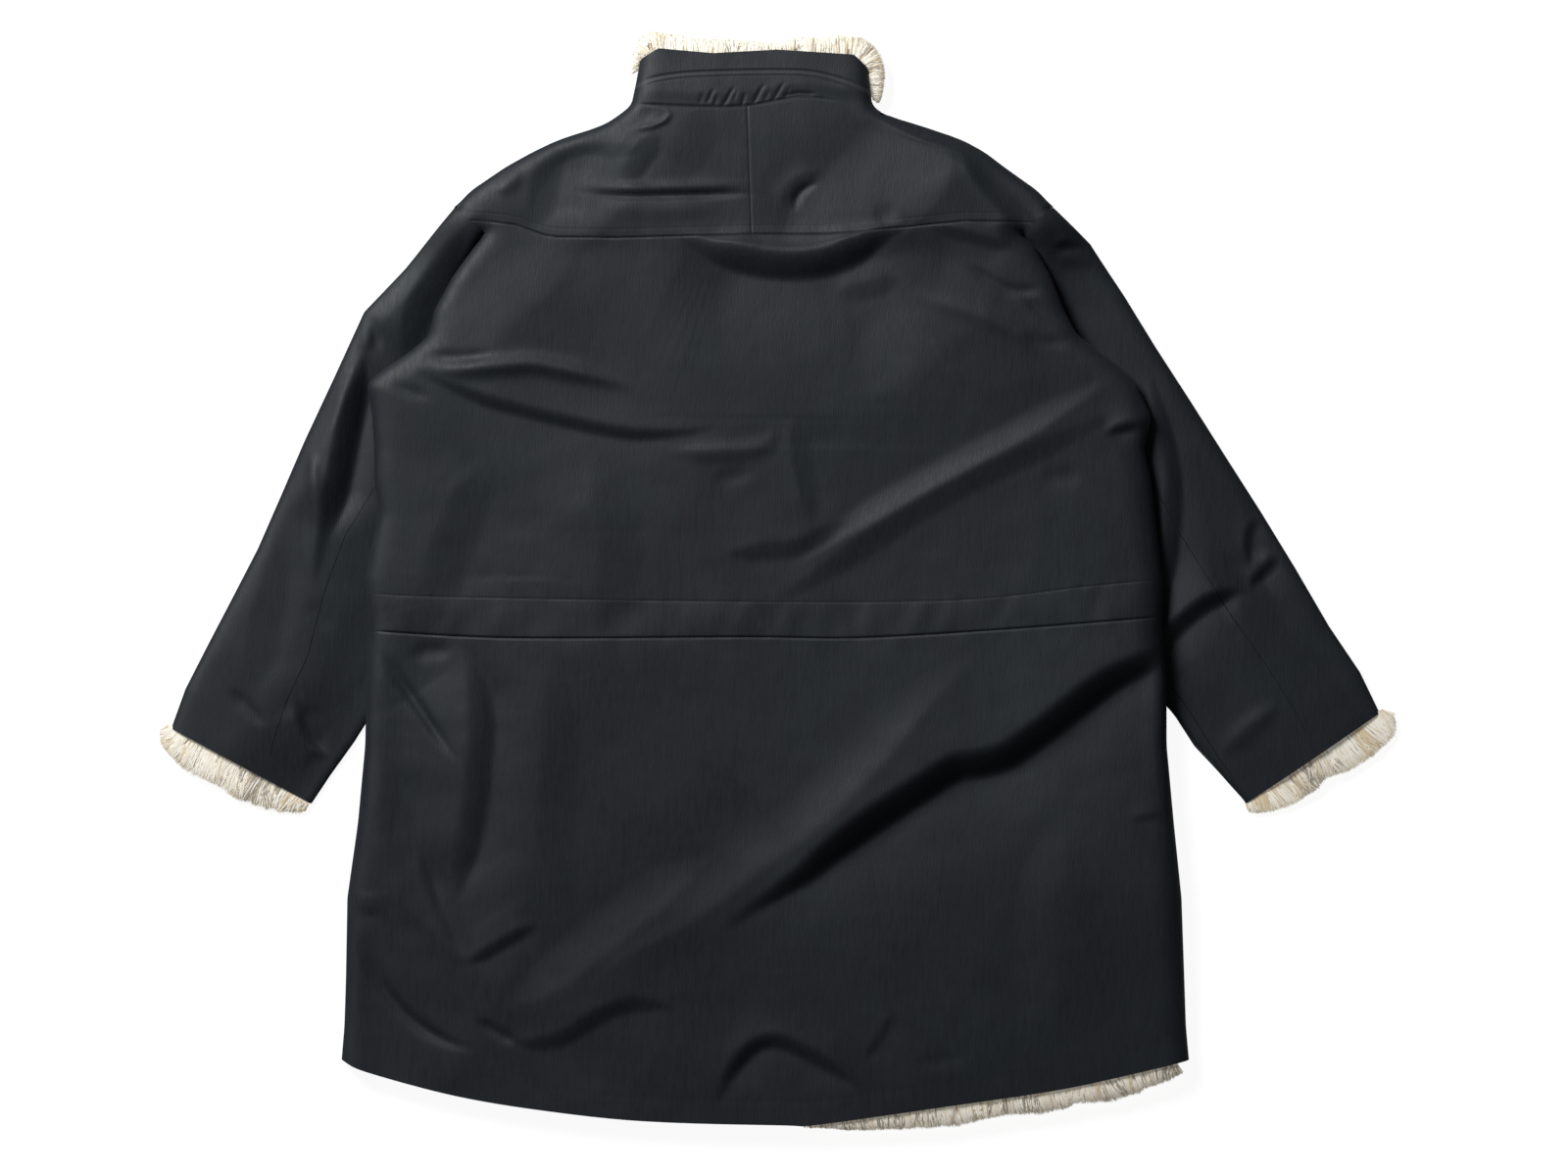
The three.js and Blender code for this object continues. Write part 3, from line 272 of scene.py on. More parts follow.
# %% Creases and ridges: height, below 0 for a crease, and width
BACK_RIDGES = [
    (-4.4, 4.5, [(-384, -54), (-366, -80), (-340, -118), (-309, -162), (-300, -176)]),
    (-2, 8, [(-352, -72), (-330, -66), (-306, -66)]),
    (-3.6, 5.5, [(-400, -322), (-395, -339), (-383, -366), (-365, -393), (-341, -416),
                 (-312, -433), (-280, -441)]),
    (-2.4, 4.5, [(-288, -410), (-266, -424), (-244, -436)]),
    (-0.7, 7, [(120, -452), (146, -451), (176, -446)]),
    (5, 8, [(-352, 206), (-325, 199), (-299, 198), (-241, 203), (-209, 199), (-164, 188), (-130, 176)]),
    (-2, 5, [(-340, 212), (-300, 209), (-262, 213)]),
    (-1.2, 8, [(-66, 92), (-24, 102)]),
    (2, 8, [(-110, 120), (-40, 122), (-12, 130), (-6, 152)]),
    (-1.4, 5, [(-366, 187), (-350, 178), (-326, 170)]),
    (-2, 5, [(166, 300), (190, 284), (218, 271), (256, 276)]),
    (-2, 5, [(222, 268), (246, 250), (276, 232)]),
    (2.2, 9, [(120, 268), (170, 254), (212, 238), (240, 222), (272, 216)]),
    (-1.6, 6, [(222, 232), (246, 222), (276, 226)]),
    (-1.2, 9, [(240, 92), (262, 98), (284, 96)]),
    (-0.25, 1.5, [(-180, 158), (-96, 152), (0, 151), (120, 151)]),
]
YOKE_RIDGES = [
    (-2.6, 3.4, [(-200, 366), (-155, 360), (-80, 361), (-30, 362), (-14, 356)]),
    (2, 5, [(-196, 374), (-155, 368), (-80, 369), (-24, 372)]),
    (1.5, 10, [(-180, 350), (-120, 347), (-50, 350)]),
    (-2.4, 3.4, [(12, 344), (13, 350), (15, 360), (23, 368), (36, 374)]),
    (1.4, 8, [(-2, 344), (2, 362), (16, 378), (44, 386)]),
    (-1.2, 9, [(86, 336), (110, 350)]),
    (3, 8, [(-272, 366), (-258, 372), (-246, 388)]),
    (2.4, 3.4, [(80, 440), (112, 421), (138, 411), (190, 398)]),
    (1.8, 3, [(-146, 423), (-134, 424), (-120, 426), (-108, 432), (-106, 438), (-113, 444)]),
    (-1.5, 8, [(-160, 434), (-138, 436), (-114, 438)]),
]
SLEEVE_RIDGES = [
    (-2, 5, [(-400, 258), (-384, 242), (-377, 210)]),
    (2.5, 6, [(-408, 250), (-394, 236), (-390, 212)]),
    (3.5, 7, [(-452, 132), (-441, 112), (-436, 60), (-441, -6)]),
    (-1, 8, [(-446, -16), (-420, -50)]),
    (-2, 6, [(-520, -100), (-500, -120), (-482, -140)]),
    (2.5, 8, [(256, 300), (276, 304), (300, 300)]),
    (2, 9, [(410, -165), (436, -140), (470, -112)]),
]
print(len(BACK_STEPS + YOKE_STEPS + SLEEVE_STEPS), "steps")
print(len(BACK_RIDGES + YOKE_RIDGES + SLEEVE_RIDGES), "creases and ridges")

# %% From the tables to a height
STEP_TAPER = 0.3  # share of its length over which a fold fades in, and out again
RIDGE_TAPER = 0.35


def within(line, x, y, reach):
    """Which points are near enough to a line to be worth measuring."""
    low, high = np.min(line, axis=0) - reach, np.max(line, axis=0) + reach
    return (x > low[0]) & (x < high[0]) & (y > low[1]) & (y < high[1])


def step_height(step, x, y):
    """A step keeps its slope towards its ends and gets narrower instead."""
    drop, face, skew, left, right, line = step
    distance, share, side = nearest(curved(line), x, y)
    fade = ease(0, STEP_TAPER, share) * ease(1, 1 - STEP_TAPER, share)
    half_face = face / 2 * (0.3 + 0.7 * fade)
    reach = np.where(side > 0, left, right) * (0.4 + 0.6 * fade)
    spread = np.exp(-((np.maximum(0, distance - half_face) / reach) ** 1.2))
    slide = np.clip(distance * side / half_face, -1, 1)
    profile = 1.25 * slide - 0.25 * slide**5
    profile -= 1.25 * skew * (slide**2 / 2 - slide**6 / 6 - 1 / 3)
    return fade * drop / 2 * profile * spread


def ridge_height(ridge, x, y):
    """A ridge or a crease is a bell across its line, and narrows towards both ends."""
    rise, width, line = ridge
    distance, share, _ = nearest(curved(line), x, y)
    fade = ease(0, RIDGE_TAPER, share) * ease(1, 1 - RIDGE_TAPER, share)
    return fade * rise * np.exp(-((distance / (width * (0.55 + 0.45 * fade))) ** 2))


def fold_height(steps, ridges, x, y):
    """All the steps and ridges that reach these points, added up."""
    height = np.zeros(np.shape(x))
    for step in steps:
        _, face, _, left, right, line = step
        near = within(line, x, y, face / 2 + 2.6 * max(left, right))
        height[near] += step_height(step, x[near], y[near])
    for ridge in ridges:
        near = within(ridge[-1], x, y, 3 * ridge[1])
        height[near] += ridge_height(ridge, x[near], y[near])
    return height


ON_ARCH = (np.array([-28.0]), np.array([270.0]))
print("folds on the arch, mm:", fold_height(BACK_STEPS, BACK_RIDGES, *ON_ARCH).round(1))

# %% [markdown]
# ## The back as one height field
# Collar, yoke, back and skirt follow one surface, so their borders meet whatever the folds do.
# At the sides it stands up from the fold in a quarter round. Seams are narrow grooves in it, with
# small puckers where the thread draws the cloth in.


# %% Height of the back
def side_line(column, low, high):
    y = np.arange(low, high, 3.5)
    return np.column_stack([read(BODY_EDGES, y, column, 4.0), y])


SIDE_LINES = [
    side_line(1, -452, ARMHOLE_LOW + 1), side_line(2, -452, ARMHOLE_LOW + 1),
    side_line(1, ARMHOLE_HIGH, 501), side_line(2, ARMHOLE_HIGH, 501),
]


def edge_distance(x, y):
    return np.minimum.reduce([nearest(line, x, y)[0] for line in SIDE_LINES])


def groove(distance, depth, width):
    return -depth * np.exp(-((distance / width) ** 2))


def puckers(along, distance, size, reach, seed):
    """Waves along a seam that fade away from it on both sides."""
    wave = soft_noise(along, along * 0 + 3.0, size, seed)
    return wave * np.exp(-np.abs(distance) / reach)


print("grooves and puckers are measured across", len(SIDE_LINES), "side lines")

# %% Seams: depth and width of each line of stitches
STITCHES = {
    "waist": (1.2, 1.0), "channel": (0.3, 0.9), "yoke": (0.9, 0.9), "yoke top": (0.14, 0.8),
    "centre": (0.45, 0.9), "hem": (0.15, 0.9), "collar": (1.2, 1.2), "tuck": (1.2, 1.9),
    "above the zip": (1.1, 0.9), "below the zip": (0.8, 0.9),
}
TOPSTITCH = 8  # from the yoke seam to the line of stitches above it
HEM_DEPTH = 22
CHANNEL_PUFF = 0.5
CHANNEL_RIPPLE = 0.9


def stitched(name, distance):
    return groove(distance, *STITCHES[name])


def seam_relief(x, y):
    low, high = read(WAIST_SEAM, x), read(CHANNEL_LINE, x)
    share = np.clip((y - low) / (high - low), 0, 1)
    puff = CHANNEL_PUFF * np.sin(np.pi * share) ** 0.7
    ripple = CHANNEL_RIPPLE * soft_noise(x, y * 0.2, 15, 11) * np.sin(np.pi * share)
    waist = stitched("waist", y - low) + stitched("channel", y - high)
    waist += 0.5 * puckers(x, y - low, 13, 7, 12) + 0.4 * puckers(x, y - high, 11, 6, 13)
    yoke_y = read(YOKE_SEAM, x, 1, 8)
    yoke = stitched("yoke", y - yoke_y) + stitched("yoke top", y - yoke_y - TOPSTITCH)
    yoke += 0.4 * puckers(x, y - yoke_y, 14, 7, 14)
    down = stitched("centre", x - read(CENTRE, y))
    down *= ease(yoke_y, yoke_y + 1, y) * ease(447, 444, y)
    hem = stitched("hem", y - read(HEM, x) - HEM_DEPTH)
    return puff + ripple + waist + yoke + down + hem


print("lines of stitches:", len(STITCHES))

# %% Collar: puckers, zip and stand
COLLAR_PUCKERS = [  # depth, width, x at the seam, slant, how far up it starts and ends
    (-0.7, 1.8, -77, 4, 3, 12), (-1.3, 1.6, -71, 6, 4, 15), (-0.9, 1.4, -63, 4, 1, 10),
    (-1.5, 1.7, -55, 8, 2, 17), (-0.8, 1.5, -47, 5, 6, 14), (-1.2, 1.5, -37, 3, 1, 11),
    (-1.4, 1.8, -27, 8, 2, 16), (-0.8, 1.4, -16, 5, 2, 10), (-1.2, 1.6, -8, 9, 1, 14),
    (-0.7, 1.5, 3, 6, 2, 9),
]
COLLAR_STAND = 1.6  # how much its lower part stands up above the yoke
COLLAR_BELOW = 436  # the collar's relief starts above this y


def collar_relief(x, y):
    base = y - read(COLLAR_SEAM, x)
    crimp = np.zeros(np.shape(x))
    for depth, width, at, slant, start, end in COLLAR_PUCKERS:
        aside = x - at - slant * np.clip(base, 0, 30) / 14
        tall = ease(start - 2, start + 2, base) * ease(end + 3, end - 3, base)
        crimp += depth * tall * np.exp(-((aside / width) ** 2))
    crimp += stitched("tuck", base - 3) * ease(-2, 8, x) * ease(34, 26, x)
    band = stitched("above the zip", y - read(ZIP_HIGH, x) - 0.6)
    band += stitched("below the zip", y - read(ZIP_LOW, x))
    seam = stitched("collar", base) * ease(60, 20, x)
    stand = COLLAR_STAND * ease(0, 14, base) * (1 - np.clip((base - 14) / 36, 0, 1))
    return (crimp + seam + band + stand) * ease(COLLAR_BELOW, COLLAR_BELOW + 6, y)


print("collar puckers:", len(COLLAR_PUCKERS))

# %% All of the back
UNEVENNESS = [  # height, size of the lumps, shear along x and along y, seed
    (1.8, 120, 0, 0, 21), (0.7, 48, 0.3, 0, 22), (0.2, 19, 0.5, -0.3, 23), (0.05, 8, 0, 0, 24),
]
SIDE_FADE = 24  # folds and seams fade out over this much of the rolled side


def back_height(x, y):
    distance = edge_distance(x, y)
    edge = read(HEIGHTS, y, 1, 30) + 0.2
    crown = read(HEIGHTS, y, 2, 30)
    roll = read(HEIGHTS, y, 3, 30)
    relief = seam_relief(x, y)
    relief += ease(348, 330, y) * fold_height(BACK_STEPS, BACK_RIDGES, x, y)
    relief += ease(300, 332, y) * fold_height(YOKE_STEPS, YOKE_RIDGES, x, y)
    relief += np.where(y > COLLAR_BELOW, collar_relief(x, y), 0)
    for height, size, shear_x, shear_y, seed in UNEVENNESS:
        relief += height * soft_noise(x + shear_x * y, y + shear_y * x, size, seed)
    body = edge + (crown - edge) * round_over(distance, roll, 4)
    return body + relief * ease(0, SIDE_FADE, distance)


print("middle of the back, mm:", float(back_height(np.array(0.0), np.array(100.0)).round(1)))

# %% [markdown]
# ## Sheets from a grid
# A sheet is a grid of points with its border turned down by the cloth's thickness, so that it
# reads as a real edge. That costs half the faces of a sheet with two sides.


# %% Grid to mesh
CLOTH = 1.8  # turned-down border


def grid_mesh(name, points, border="down"):
    """points is an array of rows, columns and x, y, z in millimetres."""
    if border:
        points = with_border(points, border)
    rows, columns = points.shape[:2]
    index = np.arange(rows * columns).reshape(rows, columns)
    quads = np.stack([index[:-1, :-1], index[:-1, 1:], index[1:, 1:], index[1:, :-1]], axis=-1)
    mesh = bpy.data.meshes.new(name)
    mesh.from_pydata((points.reshape(-1, 3) * MM).tolist(), [], quads.reshape(-1, 4).tolist())
    mesh.polygons.foreach_set("use_smooth", [True] * len(mesh.polygons))
    mesh.update()
    if border:
        sharpen_border(mesh, rows, columns)
    piece = bpy.data.objects.new(name, mesh)
    bpy.context.scene.collection.objects.link(piece)
    return piece


def sharpen_border(mesh, rows, columns):
    """Keeps the cloth's edge crisp, so that a seam reads as a thin line."""
    ends = np.empty(len(mesh.edges) * 2, dtype=int)
    mesh.edges.foreach_get("vertices", ends)
    row, column = np.divmod(ends.reshape(-1, 2), columns)
    depth = np.minimum.reduce([row, rows - 1 - row, column, columns - 1 - column])
    mesh.edges.foreach_set("use_edge_sharp", (depth == 1).all(axis=1).tolist())


def with_border(points, border):
    """Adds a ring of points one thickness below or inside the cloth, behind the border."""
    rows, columns = points.shape[:2]
    if border == "down":
        inside = points - np.array([0, 0, CLOTH])
    else:
        normal = np.cross(np.gradient(points, axis=1), np.gradient(points, axis=0))
        normal /= np.linalg.norm(normal, axis=-1, keepdims=True) + 1e-9
        inside = points - normal * CLOTH
    grown = np.empty((rows + 2, columns + 2, 3))
    grown[1:-1, 1:-1] = points
    grown[0, 1:-1], grown[-1, 1:-1] = inside[0], inside[-1]
    grown[1:-1, 0], grown[1:-1, -1] = inside[:, 0], inside[:, -1]
    for a, b in ((0, 0), (0, -1), (-1, 0), (-1, -1)):
        grown[a, b] = inside[a, b]
    return grown


print("a sheet's border turns down", CLOTH, "mm")


# %% [markdown]
# ## Back, yoke and collar
# A piece runs between two lines across the garment. Rows of points crowd at its seams, where the
# grooves are, and columns crowd at the side folds, where the cloth curls round.


# %% Columns and rows
def side_fold(y, column):
    """The body's side with its corners taken off, but for the two where the sleeve is sewn on."""
    sewn = (y > 318) & (y < 358)
    return np.where(sewn, read(BODY_EDGES, y, column), read(BODY_EDGES, y, column, 4.0))


def across(y, share):
    """x at a share of the way from the left side over the centre line to the right side."""
    left, right = side_fold(y, 1), side_fold(y, 2)
    middle = read(CENTRE, y)
    one = left + (middle - left) * share / CENTRE_SHARE
    other = middle + (right - middle) * (share - CENTRE_SHARE) / (1 - CENTRE_SHARE)
    return np.where(share <= CENTRE_SHARE, one, other)


def line_at(line, share, column):
    """Where a column meets a line: y is read off the line at the column's x, until it settles."""
    y = np.full(np.shape(share), line[0][1], dtype=float)
    for _ in range(14):
        y = read(line, column(y, share))
    return y


EDGE_SHARE = 0.045  # of the width, at each side, where columns crowd
EDGE_STEPS = EDGE_SHARE * (1 - np.cos(np.linspace(0, np.pi / 2, 9)))
SEAM_ROW = 0.8  # from row to row beside a seam


def columns_between(start, end, spacing, width):
    """Evenly spaced shares of the width."""
    count = max(2, int(round((end - start) * width / spacing)))
    return np.linspace(start, end, count + 1)


def all_columns(spacing, width=760.0):
    middle_left = columns_between(EDGE_SHARE, CENTRE_SHARE, spacing, width)
    middle_right = columns_between(CENTRE_SHARE, 1 - EDGE_SHARE, spacing, width)[1:]
    return np.concatenate([EDGE_STEPS[:-1], middle_left, middle_right, 1 - EDGE_STEPS[-2::-1]])


def rows_between(length, spacing, fine_low, fine_high):
    """Shares of a length, with more rows near its two seams."""
    low = np.arange(0, fine_low, SEAM_ROW)
    high = length - np.arange(0, fine_high, SEAM_ROW)[::-1]
    count = int((length - fine_low - fine_high) / spacing) + 2
    middle = np.linspace(fine_low, length - fine_high, count)
    return np.unique(np.concatenate([low, middle, high])) / length


def back_piece(name, low, high, columns, rows, column=across, gap=0.02):
    """A sheet of the back between two lines, `gap` inside both of them."""
    share, row = np.meshgrid(columns, rows)
    low_y = line_at(low, columns, column) + gap
    high_y = line_at(high, columns, column) - gap
    y = low_y + (high_y - low_y) * row
    x = column(y, share)
    return grid_mesh(name, np.stack([x, y, back_height(x, y)], axis=-1))


print("columns at one side:", len(EDGE_STEPS))

# %% Skirt and back panel
COLUMNS = all_columns(3.0)
skirt_rows = rows_between(length=440, spacing=3.0, fine_low=0.1, fine_high=8)
body_rows = rows_between(length=375, spacing=3.0, fine_low=42, fine_high=8)
shell_pieces = {
    "back_skirt": back_piece("skirt_cloth", HEM, WAIST_SEAM, COLUMNS, skirt_rows),
    "back_body": back_piece("back_cloth", WAIST_SEAM, YOKE_SEAM, COLUMNS, body_rows),
}
print({name: len(piece.data.polygons) for name, piece in shell_pieces.items()})

# %% Yoke halves
BESIDE_SEAM = np.array([-0.0034, -0.0016, 0.0016, 0.0034])
YOKE_COLUMNS = np.sort(np.concatenate([all_columns(2.2, 480.0), CENTRE_SHARE + BESIDE_SEAM]))


def right_yoke_column(y, share):
    """Ends at the shoulder seam, where a strip of the right front takes over."""
    x = across(y, share)
    seam = np.where((y > 402) & (y < 440), read(SHOULDER_SEAM, y), 1e9)
    strip = np.maximum(0, side_fold(y, 2) - seam)
    return x - strip * (share - CENTRE_SHARE) / (1 - CENTRE_SHARE)


yoke_rows = rows_between(length=118, spacing=2.2, fine_low=14, fine_high=6)
left_half = YOKE_COLUMNS[YOKE_COLUMNS <= CENTRE_SHARE]
right_half = YOKE_COLUMNS[YOKE_COLUMNS >= CENTRE_SHARE]
shell_pieces["back_yoke_left"] = back_piece(
    "left_yoke_cloth", YOKE_SEAM, COLLAR_SEAM, left_half, yoke_rows
)
shell_pieces["back_yoke_right"] = back_piece(
    "right_yoke_cloth", YOKE_SEAM, COLLAR_SEAM, right_half, yoke_rows, right_yoke_column
)

print("yoke faces:", len(shell_pieces["back_yoke_left"].data.polygons))

# %% Strip of the right front at the shoulder
strip_rows = np.linspace(402.5, 436.5, 30)
strip_y, strip_share = np.meshgrid(strip_rows, np.linspace(0, 1, 12), indexing="ij")
strip_edge = side_fold(strip_y, 2)
strip_seam = np.minimum(read(SHOULDER_SEAM, strip_y), strip_edge - 0.5)
strip_x = strip_seam + (strip_edge - strip_seam) * np.sin(strip_share * np.pi / 2)
strip_z = back_height(strip_x, strip_y)
shoulder_strip = grid_mesh("right_shoulder_strip", np.stack([strip_x, strip_y, strip_z], axis=-1))
print("strip faces:", len(shoulder_strip.data.polygons))

# %% Collar
COLLAR_COLUMNS = all_columns(1.6, 226.0)
stand_rows = rows_between(length=21, spacing=1.2, fine_low=3, fine_high=3)
fall_rows = rows_between(length=20, spacing=1.2, fine_low=3, fine_high=1)
shell_pieces["collar_lower"] = back_piece(
    "collar_stand", COLLAR_SEAM, ZIP_LOW, COLLAR_COLUMNS, stand_rows, gap=-0.3
)
shell_pieces["collar_zip"] = back_piece(
    "collar_zip_band", ZIP_LOW, ZIP_HIGH, COLLAR_COLUMNS, np.linspace(0, 1, 7)
)
shell_pieces["collar_upper"] = back_piece(
    "collar_fall", ZIP_HIGH, COLLAR_TOP, COLLAR_COLUMNS, fall_rows
)
print("collar faces:", len(shell_pieces["collar_lower"].data.polygons))

# %% [markdown]
# ## The two fronts
# The coat lies on its fronts, so they are flat on the ground and roll up to meet the back at the
# sides. Where a sleeve lies under the body, the front is lifted over it.

# %% Fronts
FRONT_MIDDLE = -22
ZIP_HALF_WIDTH = 10.3
FRONT_ROLL = 8
REST = 3.0  # room between a sleeve and the front that lies on it
LIFT_STARTS = -42  # from the sleeve's outline, below 0 outside it
LIFT_ENDS = -14


def is_inside(loop, x, y):
    """Counts how often a line to the right of each point crosses the loop."""
    inside = np.zeros(np.shape(x), dtype=bool)
    for (ax, ay), (bx, by) in zip(loop, loop[1:] + loop[:1]):
        crosses = (ay > y) != (by > y)
        at = ax + (y - ay) * (bx - ax) / (by - ay if by != ay else 1e-9)
        inside ^= crosses & (x < at)
    return inside


def near_shoulder(loop, x, y):
    """1 where sleeve and body meet at the shoulder, and there their edges hardly round over."""
    return np.exp(-((np.hypot(x - loop[0][0], y - loop[0][1]) / 60) ** 2))


print("weight 60 mm from a shoulder:", near_shoulder([(0, 0)], 60, 0).round(2))


# %% Height of the fronts
def lift_over(loop, x, y):
    signed = nearest(loop + loop[:1], x, y)[0] * np.where(is_inside(loop, x, y), 1, -1)
    inner = nearest(loop[len(LEFT_RINGS):len(LEFT_RINGS) * 2], x, y)[0]
    crown = read(SLEEVE_CROWN, y, 1, 30)
    swell = INNER_HEIGHT + (crown - INNER_HEIGHT) * ease(0, SPREAD, inner)
    corner = near_shoulder(loop, x, y)
    return (swell + REST) * ease(LIFT_STARTS + 38 * corner, LIFT_ENDS + 13 * corner, signed)


def sleeve_loop(rings, armhole):
    """The sleeve's outline from above, as a closed loop of points."""
    outer = [row[:2] for row in rings]
    inner = [row[2:4] for row in rings][::-1]
    return outer + inner + armhole[1:-1][::-1]


def front_height(x, y):
    edge = read(HEIGHTS, y, 1, 30) - 0.2
    loops = (sleeve_loop(LEFT_RINGS, LEFT_ARMHOLE), sleeve_loop(RIGHT_RINGS, RIGHT_ARMHOLE))
    lift = np.maximum(*(lift_over(loop, x, y) for loop in loops))
    corner = np.maximum(*(near_shoulder(loop, x, y) for loop in loops))
    return edge + (lift - edge) * round_over(edge_distance(x, y), FRONT_ROLL - 7 * corner)


def front_piece(name, column, shares):
    """A sheet that faces down, from the hem to the collar seam."""
    rows = rows_between(length=900, spacing=5.0, fine_low=6, fine_high=60)
    share, row = np.meshgrid(shares, rows)
    low_y, high_y = line_at(HEM, shares, column), line_at(COLLAR_SEAM, shares, column) - 0.3
    y = low_y + (high_y - low_y) * row
    x = column(y, share)
    points = np.stack([x, y, front_height(x, y)], axis=-1)[:, ::-1]
    return grid_mesh(name, points, border=None)


print("beside the left sleeve:", front_height(np.array(-380.0), np.array(100.0)).round(1))


# %% Left and right front
def left_front_column(y, share):
    left = side_fold(y, 1)
    return left + (FRONT_MIDDLE - ZIP_HALF_WIDTH - left) * share


def right_front_column(y, share):
    right = side_fold(y, 2)
    return right + (FRONT_MIDDLE + ZIP_HALF_WIDTH - right) * share


rolled_shares = 0.03 * (1 - np.cos(np.linspace(0, 1.57, 8)))
left_shares = np.concatenate([rolled_shares, np.linspace(0.04, 1, 56)])
right_shares = left_shares[::-1]
shell_pieces["front_left"] = front_piece("left_front", left_front_column, left_shares)
shell_pieces["front_right"] = front_piece("right_front", right_front_column, right_shares)
print("front faces:", len(shell_pieces["front_left"].data.polygons))

# %% [markdown]
# ## Sleeves
# A sleeve is a flattened tube. Each ring runs over the top from its outer edge to its inner edge
# and back underneath. The body's side lies on the inner edge, so the tube thins out towards it.

# %% Sleeve rings
def ring_value(rings, along, column):
    """A column of the table at a place between two rings."""
    values = np.array(rings, dtype=float)[:, column]
    return np.interp(along, np.arange(len(values)), values)


def along_line(line, share):
    """The point at a share of a line's length."""
    points = np.array(line, dtype=float)
    sizes = np.hypot(*np.diff(points, axis=0).T)
    places = np.concatenate([[0], np.cumsum(sizes)]) / sizes.sum()
    return np.interp(share, places, points[:, 0]), np.interp(share, places, points[:, 1])


def sleeve_plan(rings, armhole, along, share):
    """x and y on a ring. The first rings bend towards the line of the armhole."""
    outer_x, outer_y = ring_value(rings, along, 0), ring_value(rings, along, 1)
    inner_x, inner_y = ring_value(rings, along, 2), ring_value(rings, along, 3)
    bend_x, bend_y = along_line(armhole, share)
    (start_x, start_y), (end_x, end_y) = armhole[0], armhole[-1]
    bend = 1 - np.clip(along / 3, 0, 1)
    x = outer_x + (inner_x - outer_x) * share
    y = outer_y + (inner_y - outer_y) * share
    x += bend * (bend_x - start_x - (end_x - start_x) * share)
    y += bend * (bend_y - start_y - (end_y - start_y) * share)
    return x, y


SLEEVE_MIDDLE = 0.45  # of its height, where the upper and the lower side meet
LEAN_STARTS = 55  # from the inner edge
LEAN_WIDTH = 85
RELIEF_FADE = 22  # folds fade out over this much beside both edges
SHOULDER_REACH = 40  # how fast the yoke's height loses its hold on the sleeve


def shoulder_rise(rings, x, y, outer):
    """Weight, edge and top of the sleeve where it grows out of the yoke."""
    side = 1 if rings[0][0] < 0 else 2
    armhole = LEFT_ARMHOLE if side == 1 else RIGHT_ARMHOLE
    weight = np.exp(-((nearest(armhole[:2], x, y)[0] / SHOULDER_REACH) ** 2))
    edge_x = read(BODY_EDGES, np.minimum(y, ARMHOLE_LOW), side)
    outside = (x < edge_x) if side == 1 else (x > edge_x)
    body = np.where(outside, nearest(SIDE_LINES[side - 1], x, y)[0], 0)
    edge, crown = read(HEIGHTS, y, 1, 30), read(HEIGHTS, y, 2, 30)
    return weight, edge, edge + (crown - edge) * round_over(np.minimum(outer, body), 34, 4)


def sleeve_heights(rings, x, y):
    outer_line = [(row[0], row[1]) for row in rings]
    inner_line = [(row[2], row[3]) for row in rings]
    outer, inner = nearest(outer_line, x, y)[0], nearest(inner_line, x, y)[0]
    crown = read(SLEEVE_CROWN, y, 1, 30)
    swell = INNER_HEIGHT + (crown - INNER_HEIGHT) * ease(0, SPREAD, inner)
    lean = LEFT_LEAN if rings[0][0] < 0 else RIGHT_LEAN
    swell -= lean * np.clip((inner - LEAN_STARTS) / LEAN_WIDTH, 0, 1)
    weight, rim, risen = shoulder_rise(rings, x, y, outer)
    middle = SLEEVE_MIDDLE * swell
    middle += weight * (rim - middle)
    over = np.minimum(round_over(outer, OUTER_ROLL, 4), round_over(inner, INNER_ROLL))
    under = np.minimum(round_over(outer, 11 - 10 * weight), round_over(inner, 6))
    relief = fold_height(SLEEVE_STEPS, SLEEVE_RIDGES, x, y)
    relief += 0.7 * soft_noise(x, y, 60, 31) + 0.3 * soft_noise(x, y, 24, 32)
    relief *= ease(0, RELIEF_FADE, np.minimum(outer, inner))
    top = middle + (swell - middle) * over
    top += weight * np.maximum(0, risen - top)
    return top + relief, middle * (1 - under)


sleeve_top, _ = sleeve_heights(LEFT_RINGS, np.array(-420.0), np.array(60.0))
print("height of the left sleeve, mm:", sleeve_top.round(1))

# %% Sleeve pieces
SLEEVE_ROWS = 190
TOP_STEPS = 44  # of the upper cloth, from the outer edge to each of its seams
UNDER_STEPS = (30, 12)  # of the cloth below, from the inner edge to its first and second seam


def ring_points(rings, armhole, along, turn):
    """Points round a ring: turn runs from 0 to 1 over the top and from 1 to 2 underneath."""
    turn = np.mod(turn, 2)
    on_top = turn <= 1
    share = np.where(on_top, turn, 2 - turn)
    x, y = sleeve_plan(rings, armhole, along, share)
    top, bottom = sleeve_heights(rings, x, y)
    return np.stack([x, y, np.where(on_top, top, bottom)], axis=-1)


def edge_crowded(start, end, count):
    """Steps from an edge of the ring, small at first."""
    t = np.linspace(0, 1, count + 1)
    return start + (end - start) * (0.35 * t + 0.65 * t**2)


def seam_gap(rings, ring):
    """Open enough to read as a line, and closed at the mouth, where the pile lies below it."""
    return 0.0002 + 0.0013 * ease(len(rings) - 1.5, len(rings) - 1.8, ring)


def upper_sleeve(name, rings, armhole, facing):
    points = []
    for ring in np.linspace(0, len(rings) - 1, SLEEVE_ROWS)[::facing]:
        gap = seam_gap(rings, ring)
        first = ring_value(rings, ring, 4) - gap
        second = ring_value(rings, ring, 5) + gap
        below = edge_crowded(0, second - 2, TOP_STEPS)[::-1]
        above = edge_crowded(0, first, TOP_STEPS)[1:]
        turn = np.concatenate([below, above])
        points.append(ring_points(rings, armhole, np.full(turn.shape, ring), turn))
    return grid_mesh(name, np.array(points), border="inside")


